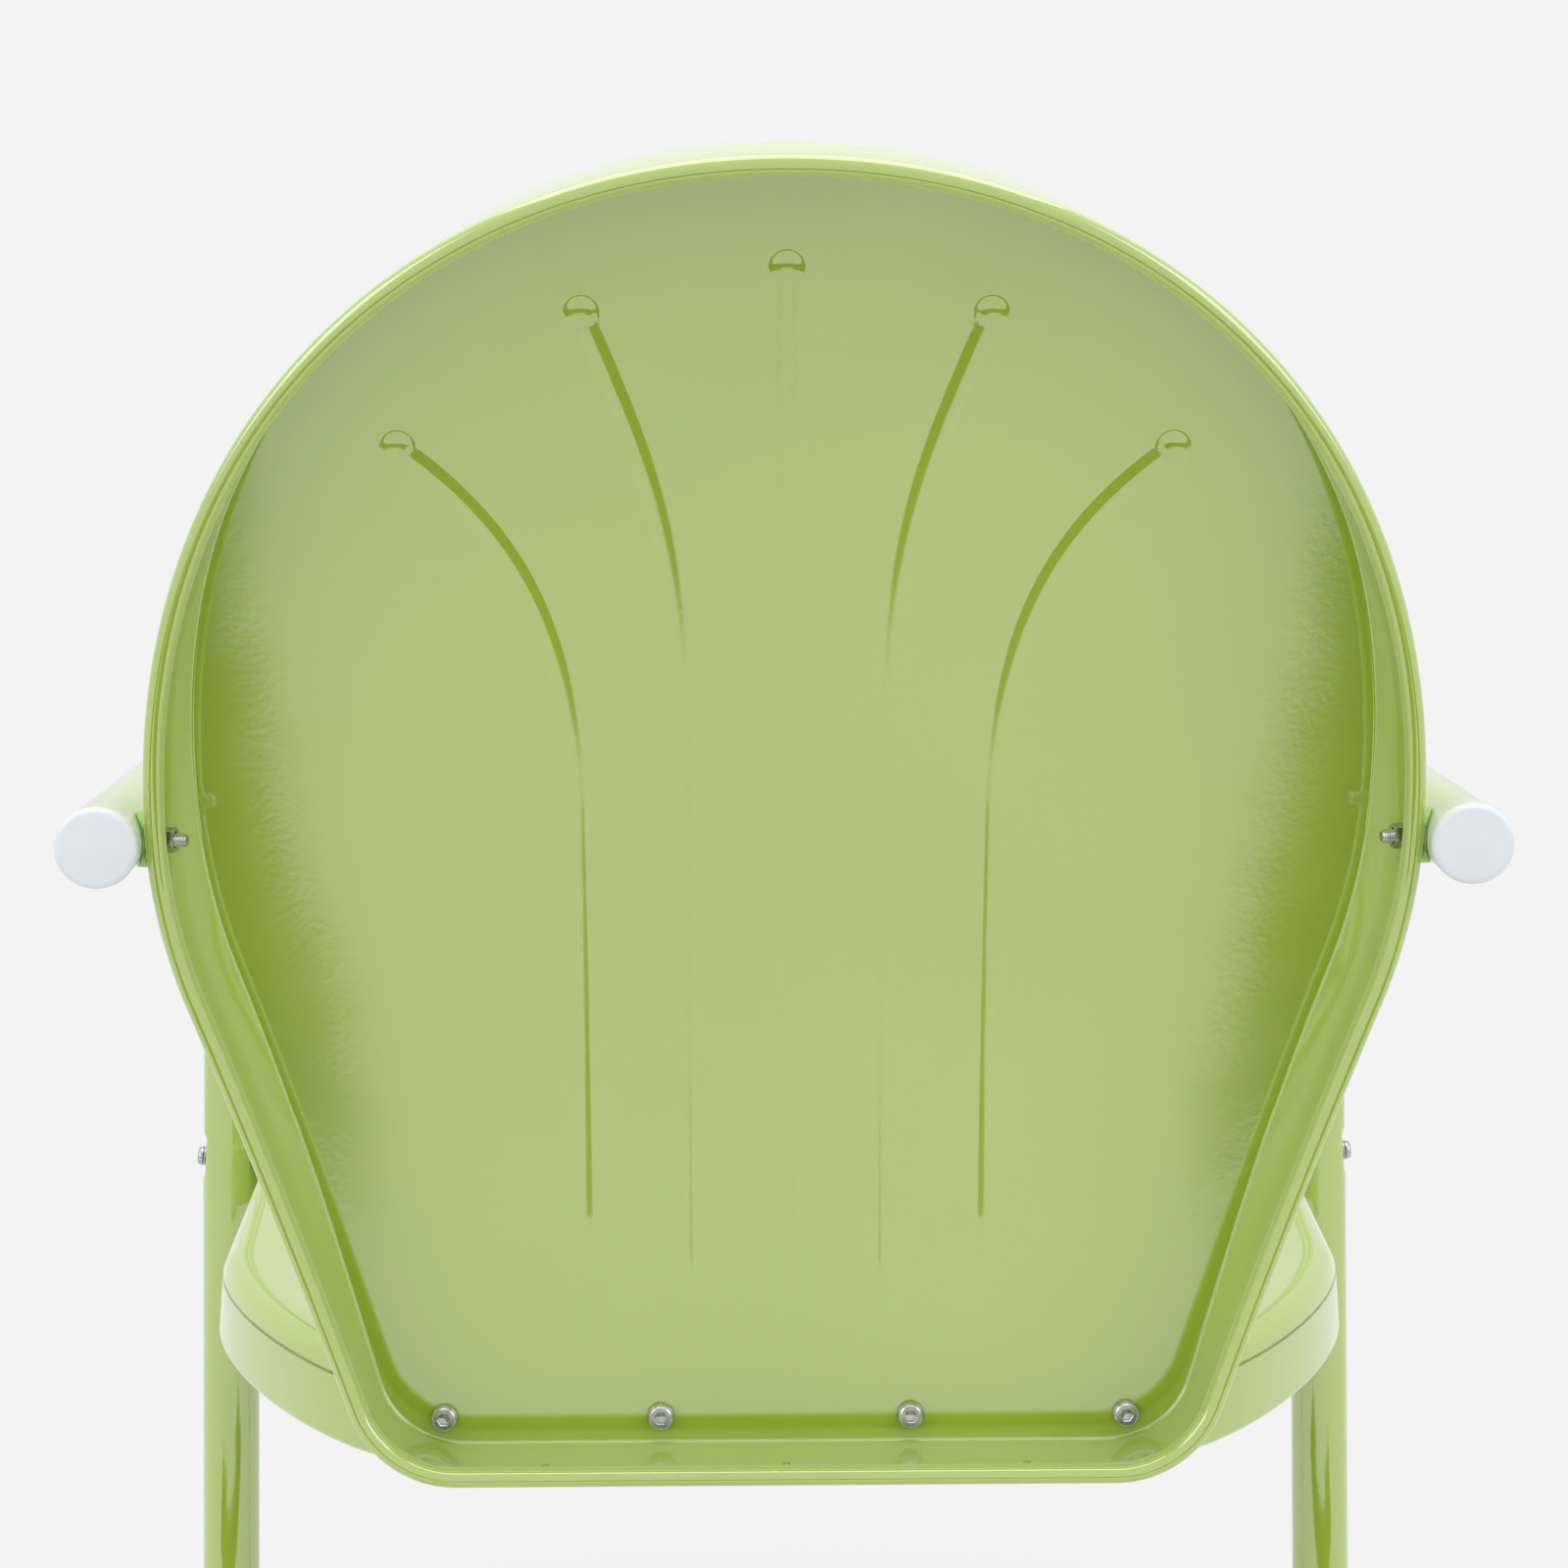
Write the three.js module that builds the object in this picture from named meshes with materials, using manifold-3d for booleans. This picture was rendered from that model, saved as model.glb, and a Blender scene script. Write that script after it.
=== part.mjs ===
// Retro spring lawn chair: a stamped steel back and seat hung between two bent tube side frames.
// Lengths are millimetres. The sitter faces -Y, +X is the sitter's left, +Z is up, and the floor is Z = 0.

import * as THREE from 'three';
import { mergeVertices } from 'three/addons/utils/BufferGeometryUtils.js';
import Module from 'manifold-3d';

const wasm = await Module();
wasm.setup();

// Steel tube and sheet
const TUBE_DIAMETER = 28;
const TUBE_WALL = 1.5;
const SHEET = 1.5;
const LIP_RADIUS = 3.4;
const LIP_RETURN = 2.5;

// Seat pan, measured along and across its lower edge
const SEAT_WIDTH = 521;
const SEAT_LENGTH = 440;
const SEAT_SKIRT = 36;
const SEAT_BEND = 10;
const SEAT_DRAFT_DEGREES = 5;
const SEAT_TILT_DEGREES = 8.3;
const SEAT_TAPER_DEGREES = 5.5;
const SEAT_SHOULDER = 104;
const SEAT_FRONT_POWER_SHARE = 2.5;
const SEAT_REAR_FLAT = 274;
const SEAT_CORNER = 150;
const SEAT_CORNER_PULL_SHARE = 0.45;
const SEAT_FRONT_CURVE = 90;
const SEAT_FRONT_LIFT_DEGREES = 15;
const SEAT_REAR_HEIGHT = 368;
const SEAT_DISH = 11;
const SEAT_DISH_RUN = 110;
const SEAT_RIM = 24;
const SEAT_DRAIN_PITCH = 110;
const SEAT_DRAIN_FROM_REAR = 95;

// Back shell, measured along and across its rear lip
const BACK_WIDTH = 452;
const BACK_HEIGHT = 479.5;
const BACK_WIDEST = 243;
const BACK_CROWN_POWER_SHARE = 2.09;
const BACK_TAPER_DEGREES = 21.7;
const BACK_CORNER_RADIUS = 42;
const BACK_SKIRT = 36;
const BACK_BEND = 3;
const BACK_DRAFT_DEGREES = 8;
const BACK_FOOT = 40;
const BACK_TOP_TILT_DEGREES = 31;
const BACK_FOOT_RISE = 3;

// Pressed ribs of the back, each ending in a round pit at the top
const RIB_PITCH = 38.2;
const RIB_WIDTH = 5;
const RIB_DEPTH = 1.6;
const RIB_FADE = 16;
const PIT_DIAMETER = 10;
const PIT_DEPTH = 3;
const RIB_CENTRE_FOOT = 58;
const RIB_CENTRE_TOP = 433;
const RIB_INNER_TOP = 418;
const RIB_INNER_SPREAD = 31;
const RIB_INNER_TURN = 270;
const RIB_INNER_LEAN_DEGREES = 21.8;
const RIB_OUTER_FOOT = 75;
const RIB_OUTER_TOP = 372.5;
const RIB_OUTER_SPREAD = 57.6;
const RIB_OUTER_TURN = 240;
const RIB_OUTER_LEAN_DEGREES = 53.6;
const RIB_REACH_SHARES = [0.5, 0.38];
const RIB_START_SHARE = 0.4;
const PIT_STATION_SHARES = [-0.4, 0.3, 0.85];

// Drain holes in the foot wall of the back and in the seat
const DRAIN_DIAMETER = 6;
const DRAIN_PITCH = 90;
const DRAIN_FROM_LIP = 15;

// Side frames
const ARM_RISE_DEGREES = 6.9;
const ARM_END = 22;
const ARM_LIP_CLEARANCE = 0.5;
const ARM_BEND_RADIUS = 95;
const LEG_FROM_FRONT = 114;
const LEG_STANDOFF = 7;
const LEG_RAKE_DEGREES = 1.8;
const FOOT_BEND_RADIUS = 95;
const RUNNER_END = 175;

// Rear bar of the base
const BASE_REAR = 396;
const BASE_BEND_RADIUS = 70;
const SPIGOT_LENGTH = 38;
const SPIGOT_NECK = 4;

// Fasteners
const M5 = { shank: 5, head: 9.5, rise: 2.75, socket: 3, nut: 8, nutHeight: 4.7, washer: 10, sheet: 1 };
const M6 = { shank: 6, head: 10.5, rise: 3.3, socket: 4, nut: 10, nutHeight: 5, washer: 12, sheet: 1.6 };
const HEAD_DOME_SHARES = [[1, 0.3], [0.84, 0.8], [0.55, 1]];
const THREAD_STICKOUT = 4;
const HOLE_CLEARANCE = 0.4;
const BACK_SCREW_INNER = 47.5;
const BACK_SCREW_OUTER = 129.6;
const BACK_SCREW_RISE = 16.6;
const ARM_BOLT_FROM_LIP = 12.5;
const ARM_BOLT_DROP = 3;
const LEG_BOLT_RISE = 19.5;
const SPACER_DIAMETER = 20;
const PRESS_DEPTH = 2;
const LEG_PRESS_LENGTH = 17;
const ARM_PRESS_LENGTH = 12;
const PRESS_RAMP = 3;

// Plastic caps and floor glides
const CAP_FACE = 5;
const CAP_ROUND = 2.2;
const CAP_OVERHANG = 0.2;
const CAP_STEM = 15;
const CAP_WALL = 2;
const GLIDE_LENGTH = 30;
const GLIDE_WIDTH = 20;
const GLIDE_PAD = 4;
const GLIDE_WRAP = 6;
const GLIDE_ROUND = 5;
const GLIDE_STEM = 5.5;
const GLIDE_FROM_BEND = 20;
const GLIDE_REAR_SPREAD = 250;

// Shared small clearance, overrun of cutting shapes, and counts
const GAP = 0.3;
const OVERRUN = 20;
const TUBE_SIDES_COUNT = 12;
const BEND_STEPS_COUNT = 5;
const ROUND_SIDES_COUNT = 10;
const HOLE_SIDES_COUNT = 10;
const SADDLE_SIDES_COUNT = 16;
const CROWN_STEPS_COUNT = 10;
const SIDE_STEPS_COUNT = 4;
const CORNER_STEPS_COUNT = 6;
const RIB_STEPS_COUNT = 7;
const RIB_SECTION_COUNT = 4;
const EDGE_STEPS_COUNT = 3;
const HEX_SIDES_COUNT = 6;
const LIP_STEPS_COUNT = 4;

const PAINT = { color: 0xa3bf62, roughness: 0.24, metalness: 0 };
const SPACER_GREEN = { color: 0x9cc255, roughness: 0.45, metalness: 0 };
const WHITE_PLASTIC = { color: 0xe2e8ec, roughness: 0.42, metalness: 0 };
const STEEL = { color: 0xb8bbbe, roughness: 0.28, metalness: 1 };

const radians = THREE.MathUtils.degToRad;
const vector = (x, y, z) => new THREE.Vector3(x, y, z);
const along = (origin, direction, distance) => origin.clone().addScaledVector(direction, distance);
const tubeRadius = TUBE_DIAMETER / 2;
const boreRadius = tubeRadius - TUBE_WALL;
const boreFlat = boreRadius * Math.cos(Math.PI / TUBE_SIDES_COUNT);

// Closed bodies and cuts

// Joins neighbouring rings of points into one closed body. The first and last ring are joined to each
// other, or each is closed by strips that run from side to side between the points of its two halves.
function loft(rings, joined = false) {
  const count = rings[0].length;
  const positions = rings.flat().flatMap((point) => [point.x, point.y, point.z]);
  const index = [];
  const last = joined ? rings.length : rings.length - 1;
  for (let i = 0; i < last; i += 1) {
    const near = i * count;
    const far = ((i + 1) % rings.length) * count;
    for (let k = 0; k < count; k += 1) {
      const next = (k + 1) % count;
      index.push(near + k, far + k, near + next);
      index.push(near + next, far + k, far + next);
    }
  }
  const closing = [];
  for (let k = 0; k < count / 2; k += 1) {
    const across = count - k - 1;
    if (across > k + 1) closing.push([k, k + 1, across]);
    if (k) closing.push([k, across, across + 1]);
  }
  if (!joined) {
    const end = (rings.length - 1) * count;
    for (const [a, b, c] of closing) index.push(a, b, c, end + c, end + b, end + a);
  }
  const geometry = new THREE.BufferGeometry();
  geometry.setAttribute('position', new THREE.Float32BufferAttribute(positions, 3));
  geometry.setIndex(index);
  return geometry;
}

function solid(geometry, matrix = new THREE.Matrix4()) {
  const bare = geometry.clone().applyMatrix4(matrix);
  bare.deleteAttribute('normal');
  bare.deleteAttribute('uv');
  const merged = mergeVertices(bare);
  const mesh = new wasm.Mesh({
    numProp: 3,
    vertProperties: new Float32Array(merged.attributes.position.array),
    triVerts: new Uint32Array(merged.index.array),
  });
  return new wasm.Manifold(mesh);
}

function baked(body) {
  const mesh = body.getMesh();
  const geometry = new THREE.BufferGeometry();
  geometry.setAttribute('position', new THREE.Float32BufferAttribute(mesh.vertProperties, 3));
  geometry.setIndex(new THREE.Uint32BufferAttribute(mesh.triVerts, 1));
  return geometry;
}

function cutAll(geometry, cutters) {
  let body = solid(geometry);
  for (const cutter of cutters) body = body.subtract(cutter);
  return baked(body);
}

// The same shape on the other side of the chair
function mirrored(geometry) {
  const copy = geometry.clone().scale(-1, 1, 1);
  const index = copy.index.array.slice();
  for (let i = 0; i < index.length; i += 3) [index[i], index[i + 1]] = [index[i + 1], index[i]];
  copy.setIndex(new THREE.Uint32BufferAttribute(index, 1));
  return copy;
}

const mirrorPoint = (point) => vector(-point.x, point.y, point.z);

// Turns a [radius, height] profile about +Z.
function turned(profile, sides = ROUND_SIDES_COUNT) {
  const points = profile.map(([radius, height]) => new THREE.Vector2(radius, height));
  return new THREE.LatheGeometry(points, sides).rotateX(Math.PI / 2);
}

// Profile of a disc, or of a ring where the inner radius isn't zero
function ringProfile(inner, outer, from, to) {
  if (!inner) return [[0, from], [outer, from], [outer, to], [0, to]];
  return [[inner, from], [outer, from], [outer, to], [inner, to], [inner, from]];
}

// Placement that stands a piece's own +Z along an axis
function axisMatrix(origin, axis) {
  const turn = new THREE.Quaternion().setFromUnitVectors(vector(0, 0, 1), axis);
  return new THREE.Matrix4().compose(origin, turn, vector(1, 1, 1));
}

// A round cutter or plug of a given diameter, from one distance to another along an axis
function rod(origin, axis, diameter, from, to, sides = HOLE_SIDES_COUNT) {
  return solid(turned(ringProfile(0, diameter / 2, from, to), sides), axisMatrix(origin, axis));
}

// Pressed pans

// A side view line made of straight and round stretches, by heading in the Y-Z plane
function sideLine(stretches) {
  const marks = [{ y: 0, z: 0, s: 0 }];
  for (const { length, from, to } of stretches) {
    const start = marks[marks.length - 1];
    const curl = (to - from) / length;
    const y = curl ? (Math.sin(to) - Math.sin(from)) / curl : length * Math.cos(from);
    const z = curl ? (Math.cos(from) - Math.cos(to)) / curl : length * Math.sin(from);
    marks.push({ y: start.y + y, z: start.z + z, s: start.s + length });
  }
  return (s) => {
    const i = s <= marks[1].s ? 0 : stretches.length - 1;
    const { length, from, to } = stretches[i];
    const curl = (to - from) / length;
    const heading = from + curl * (s - marks[i].s);
    const run = s - marks[i].s;
    const y = curl ? (Math.sin(heading) - Math.sin(from)) / curl : run * Math.cos(from);
    const z = curl ? (Math.cos(from) - Math.cos(heading)) / curl : run * Math.sin(from);
    return { y: marks[i].y + y, z: marks[i].z + z, heading };
  };
}

// A pan carries its outline on a side line. Height above its lip is measured to the left of the heading.
function makePan({ line, origin, loop, hub, skirt, bend, bendSteps, draft, shares, dish }) {
  const direction = (s) => vector(0, Math.cos(line(s).heading), Math.sin(line(s).heading));
  const normal = (s) => vector(0, -Math.sin(line(s).heading), Math.cos(line(s).heading));
  const place = (x, s, height) => {
    const at = line(s);
    return vector(x, origin.y + at.y, origin.z + at.z).addScaledVector(normal(s), height);
  };
  const inset = (amount) => loop.map((point, i) => {
    const before = loop[(i + loop.length - 1) % loop.length];
    const after = loop[(i + 1) % loop.length];
    const run = after.clone().sub(before).normalize();
    return new THREE.Vector2(point.x - run.y * amount, point.y + run.x * amount);
  });
  const ring = (amount, height) => inset(amount).map((point) => place(point.x, point.y, height));
  const bendInset = (skirt - bend) * Math.tan(draft) + bend / Math.cos(draft);
  const lipInset = LIP_RADIUS * Math.tan(draft) + LIP_RADIUS / Math.cos(draft);

  const panelRings = (face) => {
    const edge = inset(bendInset);
    return shares.map((share) => edge.map((point) => {
      const inward = hub.clone().lerp(point, share);
      return place(inward.x, inward.y, face - dish(point.distanceTo(inward)));
    }));
  };
  const bendRings = (radius) => Array.from({ length: bendSteps }, (_, i) => {
    const angle = (Math.PI / 2 - draft) * ((i + 1) / bendSteps);
    return ring(bendInset - radius * Math.sin(angle), skirt - bend + radius * Math.cos(angle));
  });
  const lipRings = (radius, steps) => Array.from({ length: steps + 1 }, (_, i) => {
    const angle = -draft + (Math.PI + draft) * (i / steps);
    return ring(lipInset - radius * Math.cos(angle), LIP_RADIUS - radius * Math.sin(angle));
  });

  const sheetBody = () => {
    const show = [...panelRings(skirt), ...bendRings(bend), ...lipRings(LIP_RADIUS, LIP_STEPS_COUNT)];
    const hidden = [...panelRings(skirt - SHEET), ...bendRings(bend - SHEET)];
    const inner = lipRings(LIP_RADIUS - SHEET, LIP_STEPS_COUNT - 1);
    const edge = [0, SHEET].map((step) => ring(lipInset + LIP_RADIUS - step, LIP_RADIUS + LIP_RETURN));
    const back = [...hidden, ...inner].reverse();
    return loft([...show, ...edge, ...back]);
  };

  // A point on the outer face of the skirt, with the direction square to that face
  const skirtPoint = (x, s, run, height) => {
    const axis = vector(run.y, 0, 0).addScaledVector(direction(s), -run.x);
    axis.addScaledVector(normal(s), Math.tan(draft)).normalize();
    const slip = height * Math.tan(draft);
    const point = place(x - run.y * slip, s + run.x * slip, height);
    return { point, axis };
  };

  return { place, direction, normal, sheetBody, skirtPoint };
}

// Seat pan
function seatHalfOutline() {
  const half = SEAT_WIDTH / 2;
  const taper = radians(SEAT_TAPER_DEGREES);
  const power = 2 / SEAT_FRONT_POWER_SHARE;
  const points = [];
  for (let i = 0; i <= CROWN_STEPS_COUNT - 2; i += 1) {
    const angle = (Math.PI / 2) * (1 - i / (CROWN_STEPS_COUNT - 2));
    const x = half * Math.cos(angle) ** power;
    points.push(new THREE.Vector2(i ? x : 0, SEAT_SHOULDER * (1 - Math.sin(angle) ** power)));
  }
  const cornerStart = new THREE.Vector2(0, SEAT_LENGTH - SEAT_CORNER);
  cornerStart.x = half - (cornerStart.y - SEAT_SHOULDER) * Math.tan(taper);
  const shoulder = new THREE.Vector2(half, SEAT_SHOULDER);
  for (let i = 1; i < SIDE_STEPS_COUNT; i += 1) {
    points.push(shoulder.clone().lerp(cornerStart, i / SIDE_STEPS_COUNT));
  }
  const cornerEnd = new THREE.Vector2(SEAT_REAR_FLAT / 2, SEAT_LENGTH);
  const crown = new THREE.Vector2(half - (SEAT_LENGTH - SEAT_SHOULDER) * Math.tan(taper), SEAT_LENGTH);
  const corner = new THREE.CubicBezierCurve(
    cornerStart,
    cornerStart.clone().lerp(crown, SEAT_CORNER_PULL_SHARE),
    cornerEnd.clone().lerp(crown, SEAT_CORNER_PULL_SHARE),
    cornerEnd,
  );
  points.push(...corner.getPoints(CORNER_STEPS_COUNT + 1));
  points.push(new THREE.Vector2(0, SEAT_LENGTH));
  return points;
}

// Completes a half outline that starts and ends on the middle line
function closedLoop(half) {
  const other = half.slice(1, -1).reverse().map((point) => new THREE.Vector2(-point.x, point.y));
  return [...half, ...other];
}

const seatTilt = radians(SEAT_TILT_DEGREES);
const seatDraft = radians(SEAT_DRAFT_DEGREES);
const seatLine = sideLine([
  { length: SEAT_FRONT_CURVE, from: radians(SEAT_FRONT_LIFT_DEGREES), to: -seatTilt },
  { length: SEAT_LENGTH - SEAT_FRONT_CURVE, from: -seatTilt, to: -seatTilt },
]);
const seatEnd = seatLine(SEAT_LENGTH);
const seatOrigin = { y: -seatEnd.y, z: SEAT_REAR_HEIGHT - seatEnd.z };

// The seat falls from its rim into a shallow dish, by distance inside the edge of its top.
function seatDish(distance) {
  if (distance <= SEAT_RIM) return 0;
  const fall = Math.min((distance - SEAT_RIM) / SEAT_DISH_RUN, 1);
  return SEAT_DISH * Math.sin(fall * Math.PI / 2);
}

const seat = makePan({
  line: seatLine,
  origin: seatOrigin,
  loop: closedLoop(seatHalfOutline()),
  hub: new THREE.Vector2(0, SEAT_LENGTH / 2),
  skirt: SEAT_SKIRT,
  bend: SEAT_BEND,
  bendSteps: 3,
  draft: seatDraft,
  shares: [0.5, 0.7, 0.86, 1],
  dish: seatDish,
});

// Back shell
function backHalfOutline() {
  const half = BACK_WIDTH / 2;
  const taper = radians(BACK_TAPER_DEGREES);
  const power = 2 / BACK_CROWN_POWER_SHARE;
  const arcEnd = new THREE.Vector2(half * Math.cos(taper), BACK_WIDEST - half * Math.sin(taper));
  const footX = arcEnd.x - arcEnd.y * Math.tan(taper);
  const tangent = BACK_CORNER_RADIUS * Math.tan((Math.PI / 2 - taper) / 2);
  const centreX = footX - tangent;
  const points = [new THREE.Vector2(0, 0)];
  for (let i = 0; i <= CORNER_STEPS_COUNT; i += 1) {
    const angle = -Math.PI / 2 + (Math.PI / 2 - taper) * (i / CORNER_STEPS_COUNT);
    const x = centreX + BACK_CORNER_RADIUS * Math.cos(angle);
    points.push(new THREE.Vector2(x, BACK_CORNER_RADIUS * (1 + Math.sin(angle))));
  }
  const sideStart = points[points.length - 1];
  for (let i = 1; i < SIDE_STEPS_COUNT; i += 1) {
    points.push(sideStart.clone().lerp(arcEnd, i / SIDE_STEPS_COUNT));
  }
  for (let i = 0; i < SIDE_STEPS_COUNT; i += 1) {
    const angle = -taper * (1 - i / SIDE_STEPS_COUNT);
    points.push(new THREE.Vector2(half * Math.cos(angle), BACK_WIDEST + half * Math.sin(angle)));
  }
  for (let i = 0; i <= CROWN_STEPS_COUNT; i += 1) {
    const angle = (Math.PI / 2) * (i / CROWN_STEPS_COUNT);
    const x = i < CROWN_STEPS_COUNT ? half * Math.cos(angle) ** power : 0;
    points.push(new THREE.Vector2(x, BACK_WIDEST + (BACK_HEIGHT - BACK_WIDEST) * Math.sin(angle) ** power));
  }
  return points;
}

const footTilt = seatTilt - seatDraft;
const backDraft = radians(BACK_DRAFT_DEGREES);
const backLine = sideLine([
  { length: BACK_FOOT, from: Math.PI / 2 - footTilt, to: Math.PI / 2 - footTilt },
  {
    length: BACK_HEIGHT - BACK_FOOT,
    from: Math.PI / 2 - footTilt,
    to: Math.PI / 2 - radians(BACK_TOP_TILT_DEGREES),
  },
]);
const footUp = vector(0, Math.sin(footTilt), Math.cos(footTilt));
const footOut = vector(0, Math.cos(footTilt), -Math.sin(footTilt));
const seatRear = vector(0, 0, SEAT_REAR_HEIGHT);
const backOrigin = along(along(seatRear, footOut, BACK_SKIRT + GAP), footUp, BACK_FOOT_RISE);

const back = makePan({
  line: backLine,
  origin: backOrigin,
  loop: closedLoop(backHalfOutline()),
  hub: new THREE.Vector2(0, BACK_WIDEST),
  skirt: BACK_SKIRT,
  bend: BACK_BEND,
  bendSteps: 2,
  draft: backDraft,
  shares: [1],
  dish: () => 0,
});

// Ribs: a groove pressed from behind that stands proud in front
function ribCurves() {
  const lean = (degrees) => new THREE.Vector2(Math.sin(radians(degrees)), Math.cos(radians(degrees)));
  const bent = (x, turn, top, spread, degrees) => {
    const start = new THREE.Vector2(x, turn);
    const end = new THREE.Vector2(x + spread, top);
    const reach = top - turn;
    return new THREE.CubicBezierCurve(
      start,
      new THREE.Vector2(x, turn + reach * RIB_REACH_SHARES[0]),
      end.clone().addScaledVector(lean(degrees), -reach * RIB_REACH_SHARES[1]),
      end,
    );
  };
  const straight = (x, from, to) => new THREE.LineCurve(new THREE.Vector2(x, from), new THREE.Vector2(x, to));
  const inner = new THREE.CurvePath();
  inner.add(straight(RIB_PITCH, RIB_CENTRE_FOOT, RIB_INNER_TURN));
  inner.add(bent(RIB_PITCH, RIB_INNER_TURN, RIB_INNER_TOP, RIB_INNER_SPREAD, RIB_INNER_LEAN_DEGREES));
  const outer = new THREE.CurvePath();
  outer.add(straight(2 * RIB_PITCH, RIB_OUTER_FOOT, RIB_OUTER_TURN));
  outer.add(bent(2 * RIB_PITCH, RIB_OUTER_TURN, RIB_OUTER_TOP, RIB_OUTER_SPREAD, RIB_OUTER_LEAN_DEGREES));
  return { centre: straight(0, RIB_CENTRE_FOOT, RIB_CENTRE_TOP), inner, outer };
}

// One rib as a swept half round. Growth widens it by the sheet, and the base is its flat underside.
function ribBody(curve, side, growth, base) {
  const length = curve.getLength();
  const pit = PIT_DIAMETER / 2;
  const stations = [];
  for (let i = 0; i <= RIB_STEPS_COUNT; i += 1) {
    const run = (length - pit) * (i / RIB_STEPS_COUNT);
    const fade = Math.min(1, RIB_START_SHARE + (1 - RIB_START_SHARE) * (run / RIB_FADE));
    stations.push({ run, wide: RIB_WIDTH / 2 * fade, deep: RIB_DEPTH * fade });
  }
  for (const share of PIT_STATION_SHARES) {
    const round = Math.sqrt(1 - share * share);
    stations.push({ run: length + pit * share, wide: pit * round, deep: PIT_DEPTH * round });
  }
  const rings = stations.map(({ run, wide, deep }) => {
    const share = Math.min(run / length, 1);
    const at = curve.getPointAt(share);
    const heading = curve.getTangentAt(share);
    at.addScaledVector(heading, run - length * share);
    const across = new THREE.Vector2(-heading.y, heading.x);
    const points = [];
    for (let k = 0; k <= RIB_SECTION_COUNT; k += 1) {
      const angle = Math.PI * (k / RIB_SECTION_COUNT);
      const reach = (wide + growth) * Math.cos(angle);
      const height = (deep + growth) * Math.sin(angle);
      const x = at.x + across.x * reach;
      const s = at.y + across.y * reach;
      const level = k % RIB_SECTION_COUNT ? Math.max(height, base) : base;
      points.push(back.place(side * x, s, BACK_SKIRT - SHEET + level));
    }
    return side > 0 ? points.reverse() : points;
  });
  return solid(loft(rings));
}

const screwSpots = [-BACK_SCREW_OUTER, -BACK_SCREW_INNER, BACK_SCREW_INNER, BACK_SCREW_OUTER];
const screwPoint = (x) => back.place(x, BACK_SCREW_RISE, BACK_SKIRT - SHEET);

// Where the arm bolt crosses the skirt of the back and the leg bolt that of the seat, on the sitter's left
const seatTaper = radians(SEAT_TAPER_DEGREES);
const taperRun = new THREE.Vector2(-Math.sin(seatTaper), Math.cos(seatTaper));
const legX = SEAT_WIDTH / 2 - (LEG_FROM_FRONT - SEAT_SHOULDER) * Math.tan(seatTaper);
const legBolt = seat.skirtPoint(legX, LEG_FROM_FRONT, taperRun, LEG_BOLT_RISE);
const armTurn = ARM_BOLT_DROP / (BACK_WIDTH / 2);
const armX = (BACK_WIDTH / 2) * Math.cos(armTurn);
const sideRun = new THREE.Vector2(Math.sin(armTurn), Math.cos(armTurn));
const armBolt = back.skirtPoint(armX, BACK_WIDEST - ARM_BOLT_DROP, sideRun, ARM_BOLT_FROM_LIP);

const legCentre = along(legBolt.point, legBolt.axis, LEG_STANDOFF + tubeRadius);
const toe = Math.atan2(legCentre.x - armBolt.point.x - tubeRadius, armBolt.point.y - legCentre.y);
const armStandoff = ARM_LIP_CLEARANCE + ARM_BOLT_FROM_LIP * Math.sin(backDraft + toe) + GAP;
const armCentre = along(armBolt.point, armBolt.axis, armStandoff + tubeRadius);

// Side frame path in its own upright plane
const frameRun = vector(armCentre.x - legCentre.x, armCentre.y - legCentre.y, 0).normalize();
const frameNormal = vector(frameRun.y, -frameRun.x, 0);
const runnerHeight = GLIDE_PAD + GAP + tubeRadius;
const armRun = frameRun.clone().multiplyScalar(Math.cos(radians(ARM_RISE_DEGREES)));
armRun.z = -Math.sin(radians(ARM_RISE_DEGREES));
const legRun = frameRun.clone().multiplyScalar(Math.sin(radians(LEG_RAKE_DEGREES)));
legRun.z = -Math.cos(radians(LEG_RAKE_DEGREES));

function crossing(pointA, runA, pointB, runB) {
  const flatA = new THREE.Vector2(pointA.clone().sub(pointB).dot(frameRun), pointA.z - pointB.z);
  const a = new THREE.Vector2(runA.dot(frameRun), runA.z);
  const b = new THREE.Vector2(runB.dot(frameRun), runB.z);
  const distance = -flatA.cross(b) / a.cross(b);
  return along(pointA, runA, distance);
}

const armCorner = crossing(armCentre, armRun, legCentre, legRun);
const runnerStart = vector(legCentre.x, legCentre.y, runnerHeight);
const footCorner = crossing(legCentre, legRun, runnerStart, frameRun);
const armRear = along(armCentre, armRun, ARM_END);
const runnerRear = along(footCorner, frameRun, RUNNER_END);

// Stations along a path of straight runs and round bends
function bentPath(nodes) {
  const stations = [];
  nodes.forEach((node, i) => {
    const before = nodes[Math.max(i - 1, 0)].point;
    const after = nodes[Math.min(i + 1, nodes.length - 1)].point;
    const arriving = (i ? node.point.clone().sub(before) : after.clone().sub(node.point)).normalize();
    const leaving = (i < nodes.length - 1 ? after.clone().sub(node.point) : arriving.clone()).normalize();
    if (!node.radius) {
      stations.push({ ...node, heading: arriving });
      return;
    }
    const turn = arriving.angleTo(leaving);
    const axis = arriving.clone().cross(leaving).normalize();
    const start = along(node.point, arriving, -node.radius * Math.tan(turn / 2));
    const centre = along(start, axis.clone().cross(arriving), node.radius);
    for (let k = 0; k <= BEND_STEPS_COUNT; k += 1) {
      const angle = turn * (k / BEND_STEPS_COUNT);
      const point = start.clone().sub(centre).applyAxisAngle(axis, angle).add(centre);
      stations.push({ point, heading: arriving.clone().applyAxisAngle(axis, angle) });
    }
  });
  return stations;
}

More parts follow.
